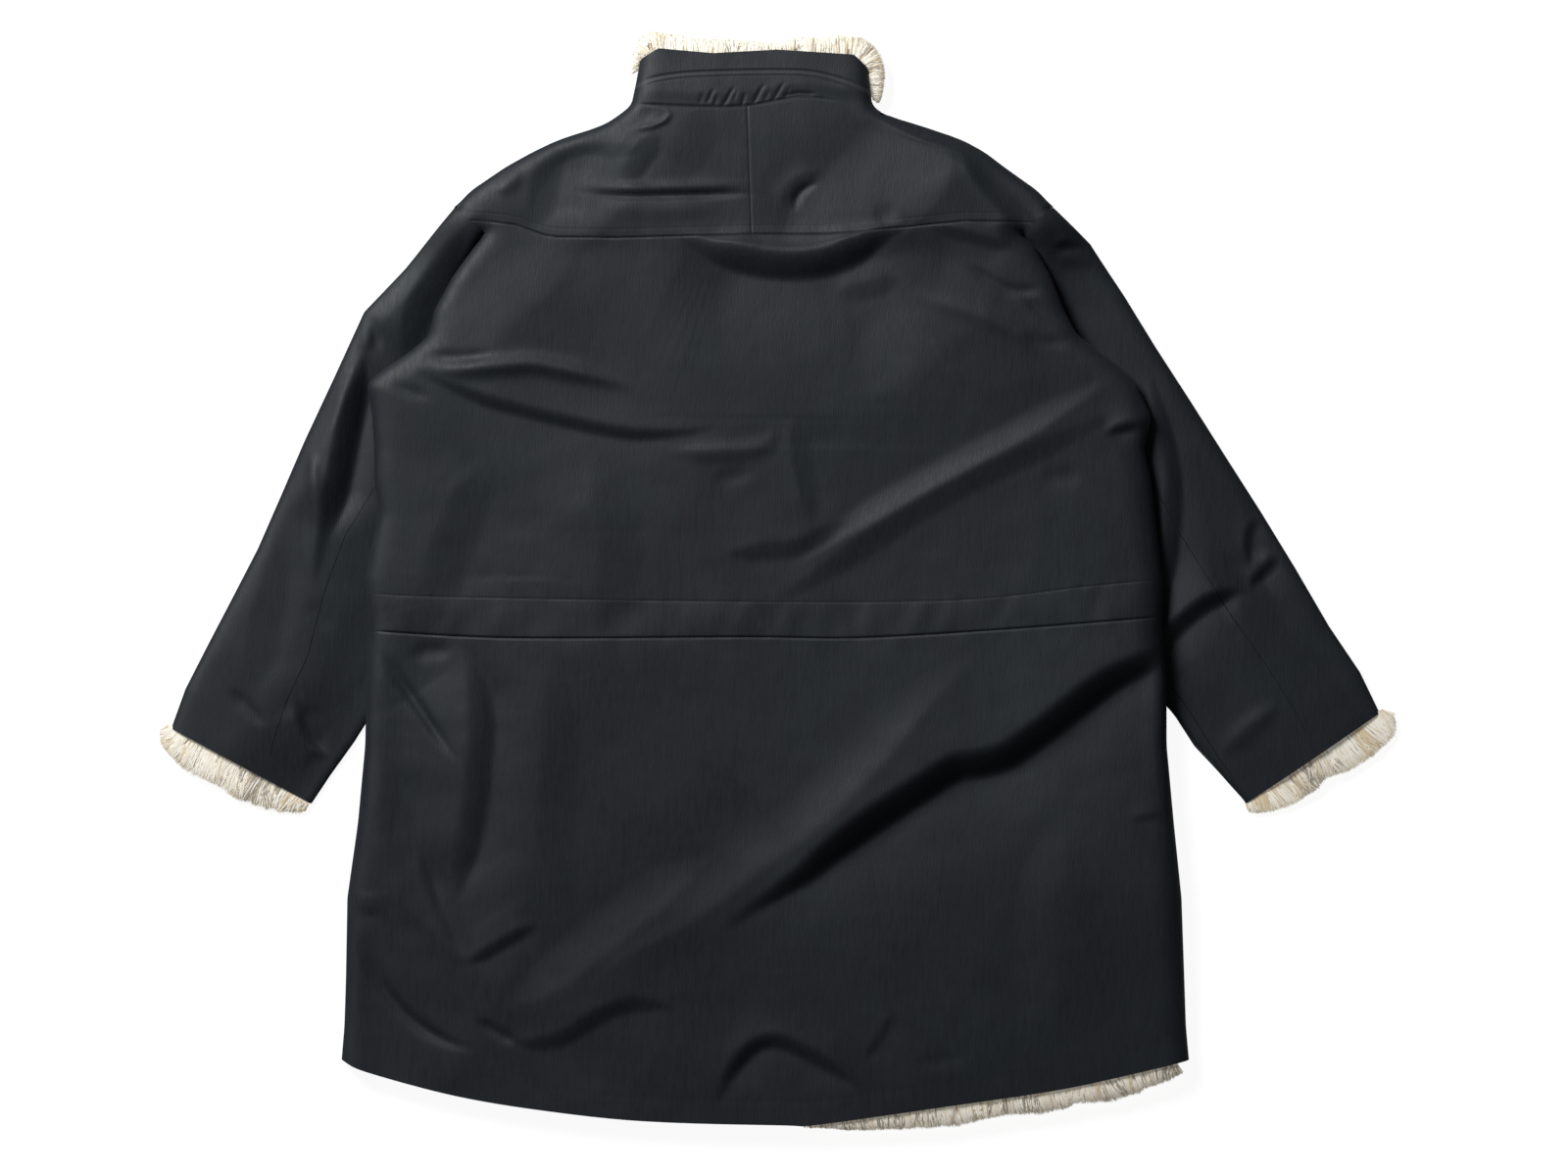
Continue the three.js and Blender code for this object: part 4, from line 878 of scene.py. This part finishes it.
def under_sleeve(name, rings, armhole, facing):
    points = []
    for ring in np.linspace(0, len(rings) - 1, SLEEVE_ROWS)[::facing]:
        gap = seam_gap(rings, ring)
        first = ring_value(rings, ring, 4) + gap
        second = ring_value(rings, ring, 5) - gap
        if second > 1:
            over = edge_crowded(1, first, UNDER_STEPS[0])[::-1]
            turn = np.concatenate([over, edge_crowded(1, second, UNDER_STEPS[1])[1:]])
        else:
            turn = np.linspace(first, second, 40)
        points.append(ring_points(rings, armhole, np.full(turn.shape, ring), turn))
    return grid_mesh(name, np.array(points), border="inside")


for side, rings, armhole, facing in (
    ("left", LEFT_RINGS, LEFT_ARMHOLE, -1), ("right", RIGHT_RINGS, RIGHT_ARMHOLE, 1),
):
    top = upper_sleeve(side + "_sleeve_top", rings, armhole, facing)
    under = under_sleeve(side + "_sleeve_under", rings, armhole, facing)
    shell_pieces[side + "_upper_sleeve"] = top
    shell_pieces[side + "_under_sleeve"] = under
print("sleeve faces:", len(shell_pieces["left_upper_sleeve"].data.polygons))

# %% [markdown]
# ## Pile
# The trim is long pile that lies outwards from each mouth. A solid core gives it body, and some
# thousands of flat tapered hairs lie over the core. A hair takes its colour from where it grows,
# so the tan and ash streaks run along the hairs as they do on the real trim.

# %% Pile sections from the mouths
PILE_PROFILE = np.array([(0, 0.55), (0.14, 1), (0.52, 1), (0.8, 0.92), (1, 0.42)])
COLLAR_PILE = [  # x, y, angle, depth, proud, low, high
    (-136.4, 479, 180, -0.9, 5, 6, 15), (-135, 487, 160, -0.9, 6, 4, 18),
    (-132, 492, 130, -1.2, 9, 3.4, 19), (-119, 500, 96, -1.2, 16, 3.2, 20),
    (-110, 498.5, 92, 12, 15, 3, 20), (-88, 496.6, 90, 12, 14, 3, 20.5),
    (-64, 494.5, 90, 12, 15, 3, 20.5), (-40, 495.8, 90, 12, 13, 3, 20.5),
    (-4, 497.8, 90, 12, 6.5, 3, 20.5), (14, 496.7, 90, 12, 13, 3, 20.5),
    (45, 494.7, 88, 12, 16, 3, 20.5), (60, 493.6, 84, 10, 17, 3, 20),
    (71, 492, 70, -1.2, 19, 3.2, 19), (79, 486, 45, -1.2, 17, 3.4, 18.5),
    (83.5, 477, 12, -1.2, 14.5, 3.6, 18), (84.4, 463, -6, -1.2, 12, 4, 16),
    (86.5, 452, -12, -1.2, 6, 5, 14),
]
HEM_PILE = [
    (-398, -4), (-300, -3), (-20, -3), (12, 1), (30, 3), (65, 9.5), (105, 15), (146, 19.5),
    (227, 18), (308, 19), (352, 16.5), (371, 11),
]
CUFF_PILE = [  # share, fan, depth, left proud, right proud, tall
    (-0.03, 26, -1.2, 8, 11, 0.55), (0, 20, -1.2, 13, 20, 0.7), (0.03, 14, -1.2, 18, 25, 0.8),
    (0.1, 8, 10, 24, 28, 1), (0.22, 4, 13, 28, 30, 1), (0.36, 0, 13, 27, 27, 1), (0.5, 0, 13, 28, 22, 1),
    (0.62, 0, 13, 27, 24, 1), (0.74, 0, 13, 21, 25, 1), (0.85, 0, 12, 22, 22, 0.95),
    (0.93, 0, 8, 17, 15, 0.85), (0.985, 0, -1.2, 9, 9, 0.6),
]
print("collar pile sections:", len(COLLAR_PILE))

# %% Sections of the hem and the cuffs
HEM_SECTIONS = 60
HEM_SLOPE = 8  # the hem's direction is read this far to both sides


def hem_sections():
    """The recess hides the pile at the left part of the hem and lets it stand out at the right."""
    x = np.linspace(-398, 371, HEM_SECTIONS)
    y = read(HEM, x)
    slope = (read(HEM, x + HEM_SLOPE) - read(HEM, x - HEM_SLOPE)) / (2 * HEM_SLOPE)
    angle = -90 + np.degrees(np.arctan(slope))
    high = np.minimum(back_height(x, y + 1), back_height(x, y + 14)) - 3
    depth = np.full(HEM_SECTIONS, 16)
    low = np.full(HEM_SECTIONS, 3)
    return np.column_stack([x, y, angle, depth, read(HEM_PILE, x), low, high])


def cuff_sections(rings, armhole, column, turn):
    """Sections from the outer to the inner end of a cuff, as thick as the sleeve leaves room for."""
    last = len(rings) - 1
    outer, inner = np.array(rings[last][:2]), np.array(rings[last][2:4])
    cuff = math.degrees(math.atan2(*(inner - outer)[::-1]))
    sections = []
    for row in CUFF_PILE:
        share, fan, depth, tall = row[0], row[1], row[2], row[5]
        x, y = outer + (inner - outer) * share
        inside = sleeve_plan(rings, armhole, last, np.clip(share, 0.06, 0.97))
        deep = sleeve_plan(rings, armhole, last - 0.35, np.clip(share, 0.1, 0.9))
        top = min(float(sleeve_heights(rings, *spot)[0]) for spot in (inside, deep))
        half = max(1.6, (top - 7) / 2 * tall)
        angle = cuff + turn * (1 + fan / 90)
        sections.append((x, y, angle, depth, row[column], top / 2 - half, top / 2 + half))
    return np.array(sections)


print("left cuff, depth of its pile:", cuff_sections(LEFT_RINGS, LEFT_ARMHOLE, 3, -90)[:, 3])


# %% Core of the pile
def resampled(sections, count):
    """The same sections, read at more places."""
    rows = np.array(sections, dtype=float)
    places = np.linspace(0, len(rows) - 1, count)
    return np.column_stack([np.interp(places, np.arange(len(rows)), c) for c in rows.T])


CORE_SHRINK = 5.0  # how far the core ends short of its section
CORE_COVER = 2.2  # of hair over the core


def pile_core(sections):
    """Rings of points of the solid core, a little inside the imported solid."""
    rings = []
    for x, y, angle, depth, proud, low, high in sections:
        direction = np.array([math.cos(math.radians(angle)), math.sin(math.radians(angle))])
        middle = (low + high) / 2
        ring = []
        for up, profile in ((1, PILE_PROFILE), (-1, PILE_PROFILE[::-1])):
            for share, fill in profile:
                out = -depth + (proud - CORE_SHRINK + depth) * share
                half = max(0.4, ((high - low) / 2 - CORE_COVER) * fill)
                ring.append([*(np.array([x, y]) + direction * out), max(1.0, middle + up * half)])
        rings.append(ring)
    return np.array(rings)


print("points of a core ring:", pile_core(COLLAR_PILE).shape[1])

# %% Colours of the locks
TINTS = ("ivory", "cream", "tan", "ash", "shade")
TINT_CHANCES = {  # share of the mouth, chance of a tan lock, chance of an ash lock
    "collar_fur": [
        (0, 0.1, 0.1), (0.2, 0.02, 0.04), (0.7, 0.03, 0.06), (0.85, 0.15, 0.1), (1, 0.2, 0.1),
    ],
    "left_cuff_fur": [
        (0, 0.02, 0), (0.12, 0.3, 0.08), (0.2, 0.22, 0.1), (0.3, 0, 0.04), (0.5, 0.02, 0.14),
        (0.6, 0.06, 0.35), (0.72, 0.05, 0.3), (0.82, 0.2, 0.25), (1, 0.35, 0.2),
    ],
    "right_cuff_fur": [
        (0, 0.12, 0.02), (0.12, 0.22, 0.06), (0.24, 0.45, 0.16), (0.32, 0.05, 0.06), (0.44, 0, 0.04),
        (0.52, 0.06, 0.3), (0.66, 0.06, 0.4), (0.74, 0.1, 0.1), (0.86, 0.45, 0.08), (1, 0.25, 0.05),
    ],
    "hem_fur": [
        (0, 0.05, 0.1), (0.5, 0.05, 0.1), (0.6, 0.03, 0.3), (0.7, 0.02, 0.12), (0.8, 0.03, 0.35),
        (0.88, 0.02, 0.1), (1, 0.05, 0.4),
    ],
}


def tints_of(share, lock, chances, rng):
    """One colour of hair for a whole lock, with stray hairs of the next one."""
    spot = lock + rng.normal(0, 0.15, lock.shape)
    tan, ash = read(chances, share), read(chances, share, 2)
    tint = np.where(spot + rng.normal(0, 0.3, lock.shape) > 0.45, 0, 1)
    tint = np.where(rng.uniform(0, 1, lock.shape) < 0.06, 4, tint)
    tint = np.where(spot < tan, 2, tint)
    return np.where((spot > 0.5) & (spot < 0.5 + ash), 3, tint)


print("tints:", TINTS)

# %% Locks
LOCK_SPACING = 0.5
LEAN = 15  # degrees that neighbouring locks lean together
LONE_LEAN = 3.5


def lay_locks(rng, run, count, seed):
    """Place, start, lean, tone and height of the lock that each hair belongs to."""
    lock_count = int(run / LOCK_SPACING)
    lock = rng.integers(0, lock_count, count)
    place = rng.permutation(lock_count) * run / lock_count
    place += rng.uniform(0, LOCK_SPACING, lock_count)
    reach = rng.uniform(-0.35, 0.5, lock_count)
    lean = LEAN * soft_noise(place, place * 0, 15, seed) + rng.normal(0, LONE_LEAN, lock_count)
    tone = rng.uniform(0, 1, lock_count)
    up = rng.uniform(-0.9, 1, lock_count)
    return [values[lock] for values in (place, reach, lean, tone, up)]


print("locks on 100 mm of a mouth:", int(100 / LOCK_SPACING))

# %% Hairs
LOCK_WIDTH = 1.9
LONGEST = 1.07  # of what the section stands out
FRINGE = 0.34  # the share by which some hairs end short of that
LOBES = 0.12
GATHER = 0.35  # how far the tips of a lock draw together
SHORTEST = 3
BARE = 1.5  # where the pile stands out less than this, no hair grows
HAIR_SHAPE = ((0, 0.8), (0.35, 1), (0.72, 0.75), (1, 0))  # share of its length, share of its width


def lie_of_hairs(rng, sections, count, length, seed):
    """Where each hair starts, how long it is and how it bends, by the lock it belongs to."""
    steps = np.hypot(*np.diff(sections[:, :2], axis=0).T)
    places = np.concatenate([[0], np.cumsum(steps)])
    lock_place, lock_reach, lean, tone, lock_up = lay_locks(rng, places[-1], count, seed)
    place = np.clip(lock_place + rng.normal(0, LOCK_WIDTH, count), 0, places[-1])
    x, y, angle, depth, proud, low, high = (
        np.interp(place, places, column) for column in sections.T
    )
    proud = proud + 1.2 * lean / 13
    angle = np.radians(angle + lean + rng.normal(0, 2.5, count))
    reach = lock_reach + rng.normal(0, 0.05, count)
    start = np.maximum(reach * proud, -2.0 - 2.5 * (depth > 5))
    end = proud * (LONGEST - FRINGE * rng.uniform(0, 1, count))
    end *= 1 + LOBES * soft_noise(place, place * 0, 13, seed + 20)
    size = np.minimum(length * rng.uniform(0.8, 1.1, count), end - start)
    up = np.clip(lock_up + rng.normal(0, 0.12, count), -1, 1)
    return SimpleNamespace(
        x=x, y=y, angle=angle, proud=proud, low=low, high=high, start=start, size=size,
        up=np.sign(up) * np.abs(up) ** 0.45, gather=(lock_place - place) * GATHER,
        bend=rng.normal(0, 0.7, count) + lean * 0.2, lift=rng.uniform(-0.1, 0.6, count),
        share=place / places[-1], tone=tone,
    )


def hair_points(rng, hair, width):
    """Points of every hair: two at each step along it and one at its tip."""
    middle, half = (hair.low + hair.high) / 2, (hair.high - hair.low) / 2
    cos, sin = np.cos(hair.angle), np.sin(hair.angle)
    points = []
    for t, thin in HAIR_SHAPE:
        out = hair.start + hair.size * t
        over = np.sqrt(np.clip(1 - np.clip(out / (hair.proud + 2), 0, 1) ** 2.6, 0.02, 1))
        aside = hair.gather * t**1.3 + hair.bend * t**2
        z = middle + hair.up * (half + 0.4) * over + hair.lift * np.sin(t * 2.6)
        x, y = hair.x + cos * out - sin * aside, hair.y + sin * out + cos * aside
        centre = np.column_stack([x, y, np.clip(z, 0.6, hair.high + 2.2)])
        side = np.column_stack([-sin, cos, rng.uniform(-0.08, 0.08, len(z))])
        if thin:
            points += [centre - side * width * thin / 2, centre + side * width * thin / 2]
        else:
            points.append(centre)
    return np.stack(points, axis=1)


def hairs(sections, count, length, width, chances, seed):
    """Flat tapered hairs in locks that lie outwards over the core, as points and faces."""
    rng = np.random.default_rng(seed)
    hair = lie_of_hairs(rng, sections, count, length, seed)
    points = hair_points(rng, hair, width)
    tint = tints_of(hair.share, hair.tone, chances, rng)
    keep = (hair.size > SHORTEST) & (hair.proud > BARE)
    points, tint = points[keep], tint[keep]
    base = np.arange(len(points))[:, None] * points.shape[1]
    faces = [base + np.array(quad) for quad in ([0, 1, 3, 2], [2, 3, 5, 4])]
    return points.reshape(-1, 3), faces, base + np.array([4, 5, 6]), tint


print("faces of a hair:", len(HAIR_SHAPE) - 1)


# %% Pile pieces
def pile_piece(name, sections, core_count, hair_count, length, width, chances, seed):
    """Core and hairs as one mesh, with a material index for the tint of each hair."""
    fine = resampled(sections, core_count)
    rings = pile_core(fine)
    ring_size = rings.shape[1]
    points = rings.reshape(-1, 3)
    index = np.arange(len(points)).reshape(core_count, ring_size)
    follow = np.roll(index, -1, axis=1)
    quads = np.stack([index[:-1], follow[:-1], follow[1:], index[1:]], axis=-1).reshape(-1, 4)
    hair_points, hair_quads, hair_tips, tint = hairs(fine, hair_count, length, width, chances, seed)
    offset = len(points)
    faces = quads.tolist() + [index[0].tolist(), index[-1][::-1].tolist()]
    # The core takes the darker shade tint: painted shade deep in the pile.
    tints = [TINTS.index("shade")] * len(faces)
    for block in (*hair_quads, hair_tips):
        faces += (block + offset).tolist()
        tints += tint.tolist()
    mesh = bpy.data.meshes.new(name)
    mesh.from_pydata((np.vstack([points, hair_points]) * MM).tolist(), [], faces)
    mesh.polygons.foreach_set("material_index", tints)
    mesh.polygons.foreach_set("use_smooth", [True] * len(mesh.polygons))
    mesh.update()
    piece = bpy.data.objects.new(name, mesh)
    bpy.context.scene.collection.objects.link(piece)
    print(name, "has", len(tint), "hairs")
    return piece


PILE_RUNS = [  # node, sections, core rings, hairs, length, width
    ("collar_fur", COLLAR_PILE, 60, 11000, 24, 1.1),
    ("left_cuff_fur", cuff_sections(LEFT_RINGS, LEFT_ARMHOLE, 3, -90), 40, 12000, 32, 1.1),
    ("right_cuff_fur", cuff_sections(RIGHT_RINGS, RIGHT_ARMHOLE, 4, 90), 40, 12000, 32, 1.1),
    ("hem_fur", hem_sections(), 60, 24000, 26, 1.1),
]
pile_pieces = {}
for seed, (node, sections, rings, count, length, width) in enumerate(PILE_RUNS, 51):
    name = node.replace("fur", "pile")
    chances = TINT_CHANCES[node]
    pile_pieces[node] = pile_piece(name, sections, rings, count, length, width, chances, seed)

# %% [markdown]
# ## Materials
# The shell cloth is a fine slubbed twill with a satin sheen. Its threads are too fine for geometry,
# so a node group draws them as a bump and a slight change of colour, and every cloth uses it.


# %% Helpers for nodes
def new_group(name, inputs, outputs):
    group = bpy.data.node_groups.new(name, "ShaderNodeTree")
    for label, kind, value in inputs:
        socket = group.interface.new_socket(label, in_out="INPUT", socket_type=kind)
        socket.default_value = value
    for label, kind in outputs:
        group.interface.new_socket(label, in_out="OUTPUT", socket_type=kind)
    return group, group.nodes.new("NodeGroupInput"), group.nodes.new("NodeGroupOutput")


def add(tree, kind, **settings):
    """A node with values for its sockets and settings."""
    node = tree.nodes.new(kind)
    for key, value in settings.items():
        if key in node.inputs:
            node.inputs[key].default_value = value
        else:
            setattr(node, key, value)
    return node


def join(tree, rows):
    """Links an output of one node to an input of another, for each row."""
    for source, output, target, entry in rows:
        tree.links.new(source.outputs[output], target.inputs[entry])


def map_range(tree, low, high, to_low=0.0, to_high=1.0):
    """A node that stretches what lies between low and high to the other two values."""
    node = tree.nodes.new("ShaderNodeMapRange")
    ends = {"From Min": low, "From Max": high, "To Min": to_low, "To Max": to_high}
    for socket, value in ends.items():
        node.inputs[socket].default_value = value
    return node


def new_material(name, **values):
    """A material, its node tree and its shader, with values set on the shader's sockets."""
    material = bpy.data.materials.new(name)
    material.use_nodes = True
    tree = material.node_tree
    shader = tree.nodes["Principled BSDF"]
    for socket, value in values.items():
        shader.inputs[socket.replace("_", " ")].default_value = value
    return material, tree, shader


print("materials so far:", len(bpy.data.materials))

# %% Node group: slubbed weave
SLUB_RELIEF = 0.7  # height of a slub for 1 of a thread
SLUB_TONE = 0.6  # share of the slubs in the change of colour, to which wide clouds are added
TONE_ENDS = (0.55, 1.05)  # where that sum gives the dark and the light colour
weave, weave_in, weave_out = new_group(
    "slubbed_weave",
    [
        ("Thread Scale", "NodeSocketFloat", 900.0),
        ("Dark", "NodeSocketColor", (0.01, 0.01, 0.01, 1)),
        ("Light", "NodeSocketColor", (0.03, 0.03, 0.03, 1)),
    ],
    [("Color", "NodeSocketColor"), ("Height", "NodeSocketFloat"), ("Slub", "NodeSocketFloat")],
)
place = add(weave, "ShaderNodeTexCoord")
stretch = add(weave, "ShaderNodeMapping", vector_type="POINT", Scale=(1.0, 0.12, 1.0))
threads = add(weave, "ShaderNodeTexNoise", Detail=2.0, Roughness=0.6)
slub = add(weave, "ShaderNodeTexNoise", Scale=330.0, Detail=3.0, Roughness=0.6)
cloud = add(weave, "ShaderNodeTexNoise", Scale=6.0, Detail=4.0, Roughness=0.6)
relief = add(weave, "ShaderNodeMath", operation="MULTIPLY_ADD")
relief.inputs[1].default_value = SLUB_RELIEF
blend = add(weave, "ShaderNodeMath", operation="MULTIPLY_ADD")
blend.inputs[1].default_value = SLUB_TONE
limit = map_range(weave, *TONE_ENDS)
tone = add(weave, "ShaderNodeMix", data_type="RGBA")
join(weave, [
    (place, "Object", stretch, "Vector"), (place, "Object", cloud, "Vector"),
    (stretch, "Vector", threads, "Vector"), (stretch, "Vector", slub, "Vector"),
    (weave_in, "Thread Scale", threads, "Scale"),
    (slub, "Fac", blend, 0), (cloud, "Fac", blend, 2), (blend, 0, limit, "Value"),
    (limit, "Result", tone, "Factor"), (weave_in, "Dark", tone, "A"), (weave_in, "Light", tone, "B"),
    (slub, "Fac", relief, 0), (threads, "Fac", relief, 2),
    (tone, "Result", weave_out, "Color"), (relief, 0, weave_out, "Height"),
    (slub, "Fac", weave_out, "Slub"),
])
print("weave group has", len(weave.nodes), "nodes")


# %% Cloth materials
BUMP_DEPTH = 0.0004  # metres
SLUB_ENDS = (0.3, 0.7)  # most of the slubs' noise lies between these
SHINE_RANGE = 0.05  # how much rougher and smoother than the mean the slubs make the cloth


def cloth_material(name, dark, light, roughness, sheen, bump):
    material, tree, shader = new_material(
        name, Sheen_Weight=sheen, Sheen_Roughness=0.45, Sheen_Tint=(0.75, 0.85, 1.0, 1),
        Specular_IOR_Level=0.3,
    )
    cloth = add(tree, "ShaderNodeGroup", node_tree=weave)
    cloth.inputs["Dark"].default_value = (*dark, 1)
    cloth.inputs["Light"].default_value = (*light, 1)
    relief = add(tree, "ShaderNodeBump", Strength=bump, Distance=BUMP_DEPTH)
    shine = map_range(tree, *SLUB_ENDS, roughness - SHINE_RANGE, roughness + SHINE_RANGE)
    join(tree, [
        (cloth, "Color", shader, "Base Color"), (cloth, "Height", relief, "Height"),
        (relief, "Normal", shader, "Normal"), (cloth, "Slub", shine, "Value"),
        (shine, "Result", shader, "Roughness"),
    ])
    return material


shell_cloth = cloth_material(
    "charcoal_cloth", dark=(0.0052, 0.0058, 0.0104), light=(0.0078, 0.0118, 0.0142),
    roughness=0.62, sheen=0.02, bump=0.5,
)
band_cloth = cloth_material(
    "zip_band", dark=(0.012, 0.014, 0.018), light=(0.02, 0.023, 0.028),
    roughness=0.6, sheen=0.06, bump=0.6,
)
print("cloths:", shell_cloth.name, band_cloth.name)

# %% [markdown]
# Light goes into pale pile, is scattered from hair to hair and comes out again, so its depths are
# never dark. Real scattering in thousands of hairs is slow to render. A weak glow in the hair's own
# colour stands for it. Each tint is a material of its own, so that a lock can be given one by index.

# %% Pile materials
PILE_GLOW = 0.24


def pile_material(name, color):
    material, tree, shader = new_material(
        name, Emission_Strength=PILE_GLOW, Roughness=0.8, Sheen_Weight=0.15
    )
    noise = add(tree, "ShaderNodeTexNoise", Scale=220.0)
    mix = add(tree, "ShaderNodeMix", data_type="RGBA")
    mix.inputs["A"].default_value = (*[0.82 * c for c in color], 1)
    mix.inputs["B"].default_value = (*[min(1, 1.08 * c) for c in color], 1)
    join(tree, [
        (noise, "Fac", mix, "Factor"), (mix, "Result", shader, "Base Color"),
        (mix, "Result", shader, "Emission Color"),
    ])
    return material


# shade is a darker cream, painted shade on the core; a few stray hairs take it too.
PILE_COLORS = {
    "ivory": (0.74, 0.71, 0.63), "cream": (0.68, 0.63, 0.53), "tan": (0.55, 0.45, 0.30),
    "ash": (0.31, 0.275, 0.22), "shade": (0.58, 0.52, 0.43),
}
pile_materials = [pile_material("pile_" + tint, PILE_COLORS[tint]) for tint in TINTS]
print("materials:", [m.name for m in bpy.data.materials])

# %% [markdown]
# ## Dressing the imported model
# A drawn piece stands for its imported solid, which is then not shown. The closed front zip and the
# collar's front layer are hidden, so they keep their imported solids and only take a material.


# %% Put a piece in the place of its solid
def dress(node, piece, materials):
    for material in materials:
        piece.data.materials.append(material)
    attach(piece, "root")
    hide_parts(node)


print("packed nodes:", len(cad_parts))

# %% [markdown]
# The table gives each sheet the size of its cut before it was sewn. A cut isn't a full
# rectangle, so the share of the rectangle that is cloth stands in the table too. No real cut was
# measured: the shares were set from the areas of the finished sheets.

# %% Cloth and its flat cuts
ZIP_LOOK = (band_cloth, "zip_tape")
SHELL_LOOK = (shell_cloth, "shell_cloth")
FLAT_CUTS = {  # width and length of each cut in metres, and the share of that which is cloth
    "back_skirt": (0.83, 0.47, 0.92), "back_body": (0.78, 0.40, 0.86),
    "back_yoke_left": (0.30, 0.14, 0.7), "back_yoke_right": (0.30, 0.14, 0.7),
    "collar_lower": (0.26, 0.028, 0.85), "collar_zip": (0.25, 0.01, 0.7),
    "collar_upper": (0.25, 0.028, 0.82), "left_upper_sleeve": (0.25, 0.60, 0.72),
    "left_under_sleeve": (0.12, 0.52, 0.7), "right_upper_sleeve": (0.27, 0.62, 0.77),
    "right_under_sleeve": (0.09, 0.50, 0.66), "front_left": (0.42, 0.98, 0.82),
    "front_right": (0.42, 0.98, 0.82),
}
shoulder_strip.data.materials.append(shell_cloth)
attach(shoulder_strip, "root")

for node, piece in shell_pieces.items():
    material, slot_name = ZIP_LOOK if node == "collar_zip" else SHELL_LOOK
    dress(node, piece, [material])
    width, length, share = FLAT_CUTS[node]

# %% Pile
for node, piece in pile_pieces.items():
    dress(node, piece, pile_materials)
print("pile on", list(pile_pieces))

# %% The solids that stay
for node in ("front_zip", "collar_front"):
    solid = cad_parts[node]
    solid.data.materials.clear()
    solid.data.materials.append(band_cloth if node == "front_zip" else shell_cloth)
    print(node, "keeps its solid, in", solid.data.materials[0].name)

# %% [markdown]
# ## Floor, light and camera
# The photograph looks straight down on a white ground under a large soft light from the upper
# left. A long lens from high above keeps the outline nearly free of perspective.

# %% Floor
FLOOR_SIZE = 30.0
FLOOR_DROP = 0.0005  # below the cloth, so that the two never share a plane
FLOOR_GREY = (0.12, 0.12, 0.12, 1)
FLOOR_GLOW = 0.93  # a background that is lit up to white, as in the photograph
half = FLOOR_SIZE / 2
corners = [(x, y, -FLOOR_DROP) for x, y in ((-half, -half), (half, -half), (half, half), (-half, half))]
floor_mesh = bpy.data.meshes.new("floor")
floor_mesh.from_pydata(corners, [], [(0, 1, 2, 3)])
floor = bpy.data.objects.new("floor", floor_mesh)
bpy.context.scene.collection.objects.link(floor)
floor_paint, _, _ = new_material(
    "floor_paint", Base_Color=FLOOR_GREY, Roughness=1.0, Emission_Color=(1, 1, 1, 1),
    Emission_Strength=FLOOR_GLOW,
)
floor_mesh.materials.append(floor_paint)
floor.visible_glossy = False  # else the satin cloth mirrors the white floor in its steep folds
print("floor, m:", FLOOR_SIZE)

# %% World and light
ROOM_LIGHT = 0.08  # from all sides, so that the shadows aren't black
world = bpy.data.worlds.new("soft_room")
world.use_nodes = True
world.node_tree.nodes["Background"].inputs["Color"].default_value = (1, 1, 1, 1)
world.node_tree.nodes["Background"].inputs["Strength"].default_value = ROOM_LIGHT
bpy.context.scene.world = world
bpy.context.scene.view_settings.view_transform = "Standard"


def area_light(name, place, target, size, power):
    data = bpy.data.lights.new(name, "AREA")
    data.shape = "SQUARE"
    data.size = size
    data.energy = power
    light = bpy.data.objects.new(name, data)
    light.location = place
    direction = np.array(target) - np.array(place)
    yaw = math.atan2(direction[1], direction[0])
    pitch = math.atan2(-direction[2], math.hypot(direction[0], direction[1]))
    light.rotation_euler = (math.pi / 2 - pitch, 0, yaw - math.pi / 2)
    bpy.context.scene.collection.objects.link(light)
    return light


area_light("window", place=(-1.8, 2.1, 2.15), target=(0, 0, 0), size=1.3, power=195)
print("lights:", len(bpy.data.lights))

# %% Camera
VIEW_WIDTH = 1.472  # metres of the garment's plane across the picture
VIEW_HEIGHT = 6.0
VIEW_CENTRE = (0.0023, -0.0069)
PLANE = 0.015  # height of the garment's outline
SENSOR = 36.0
camera_data = bpy.data.cameras.new("camera")
camera_data.sensor_width = SENSOR
camera_data.lens = SENSOR * (VIEW_HEIGHT - PLANE) / VIEW_WIDTH
camera = bpy.data.objects.new("camera", camera_data)
camera.location = (*VIEW_CENTRE, VIEW_HEIGHT)
bpy.context.scene.collection.objects.link(camera)
bpy.context.scene.camera = camera
print("lens, mm:", round(camera_data.lens, 1))
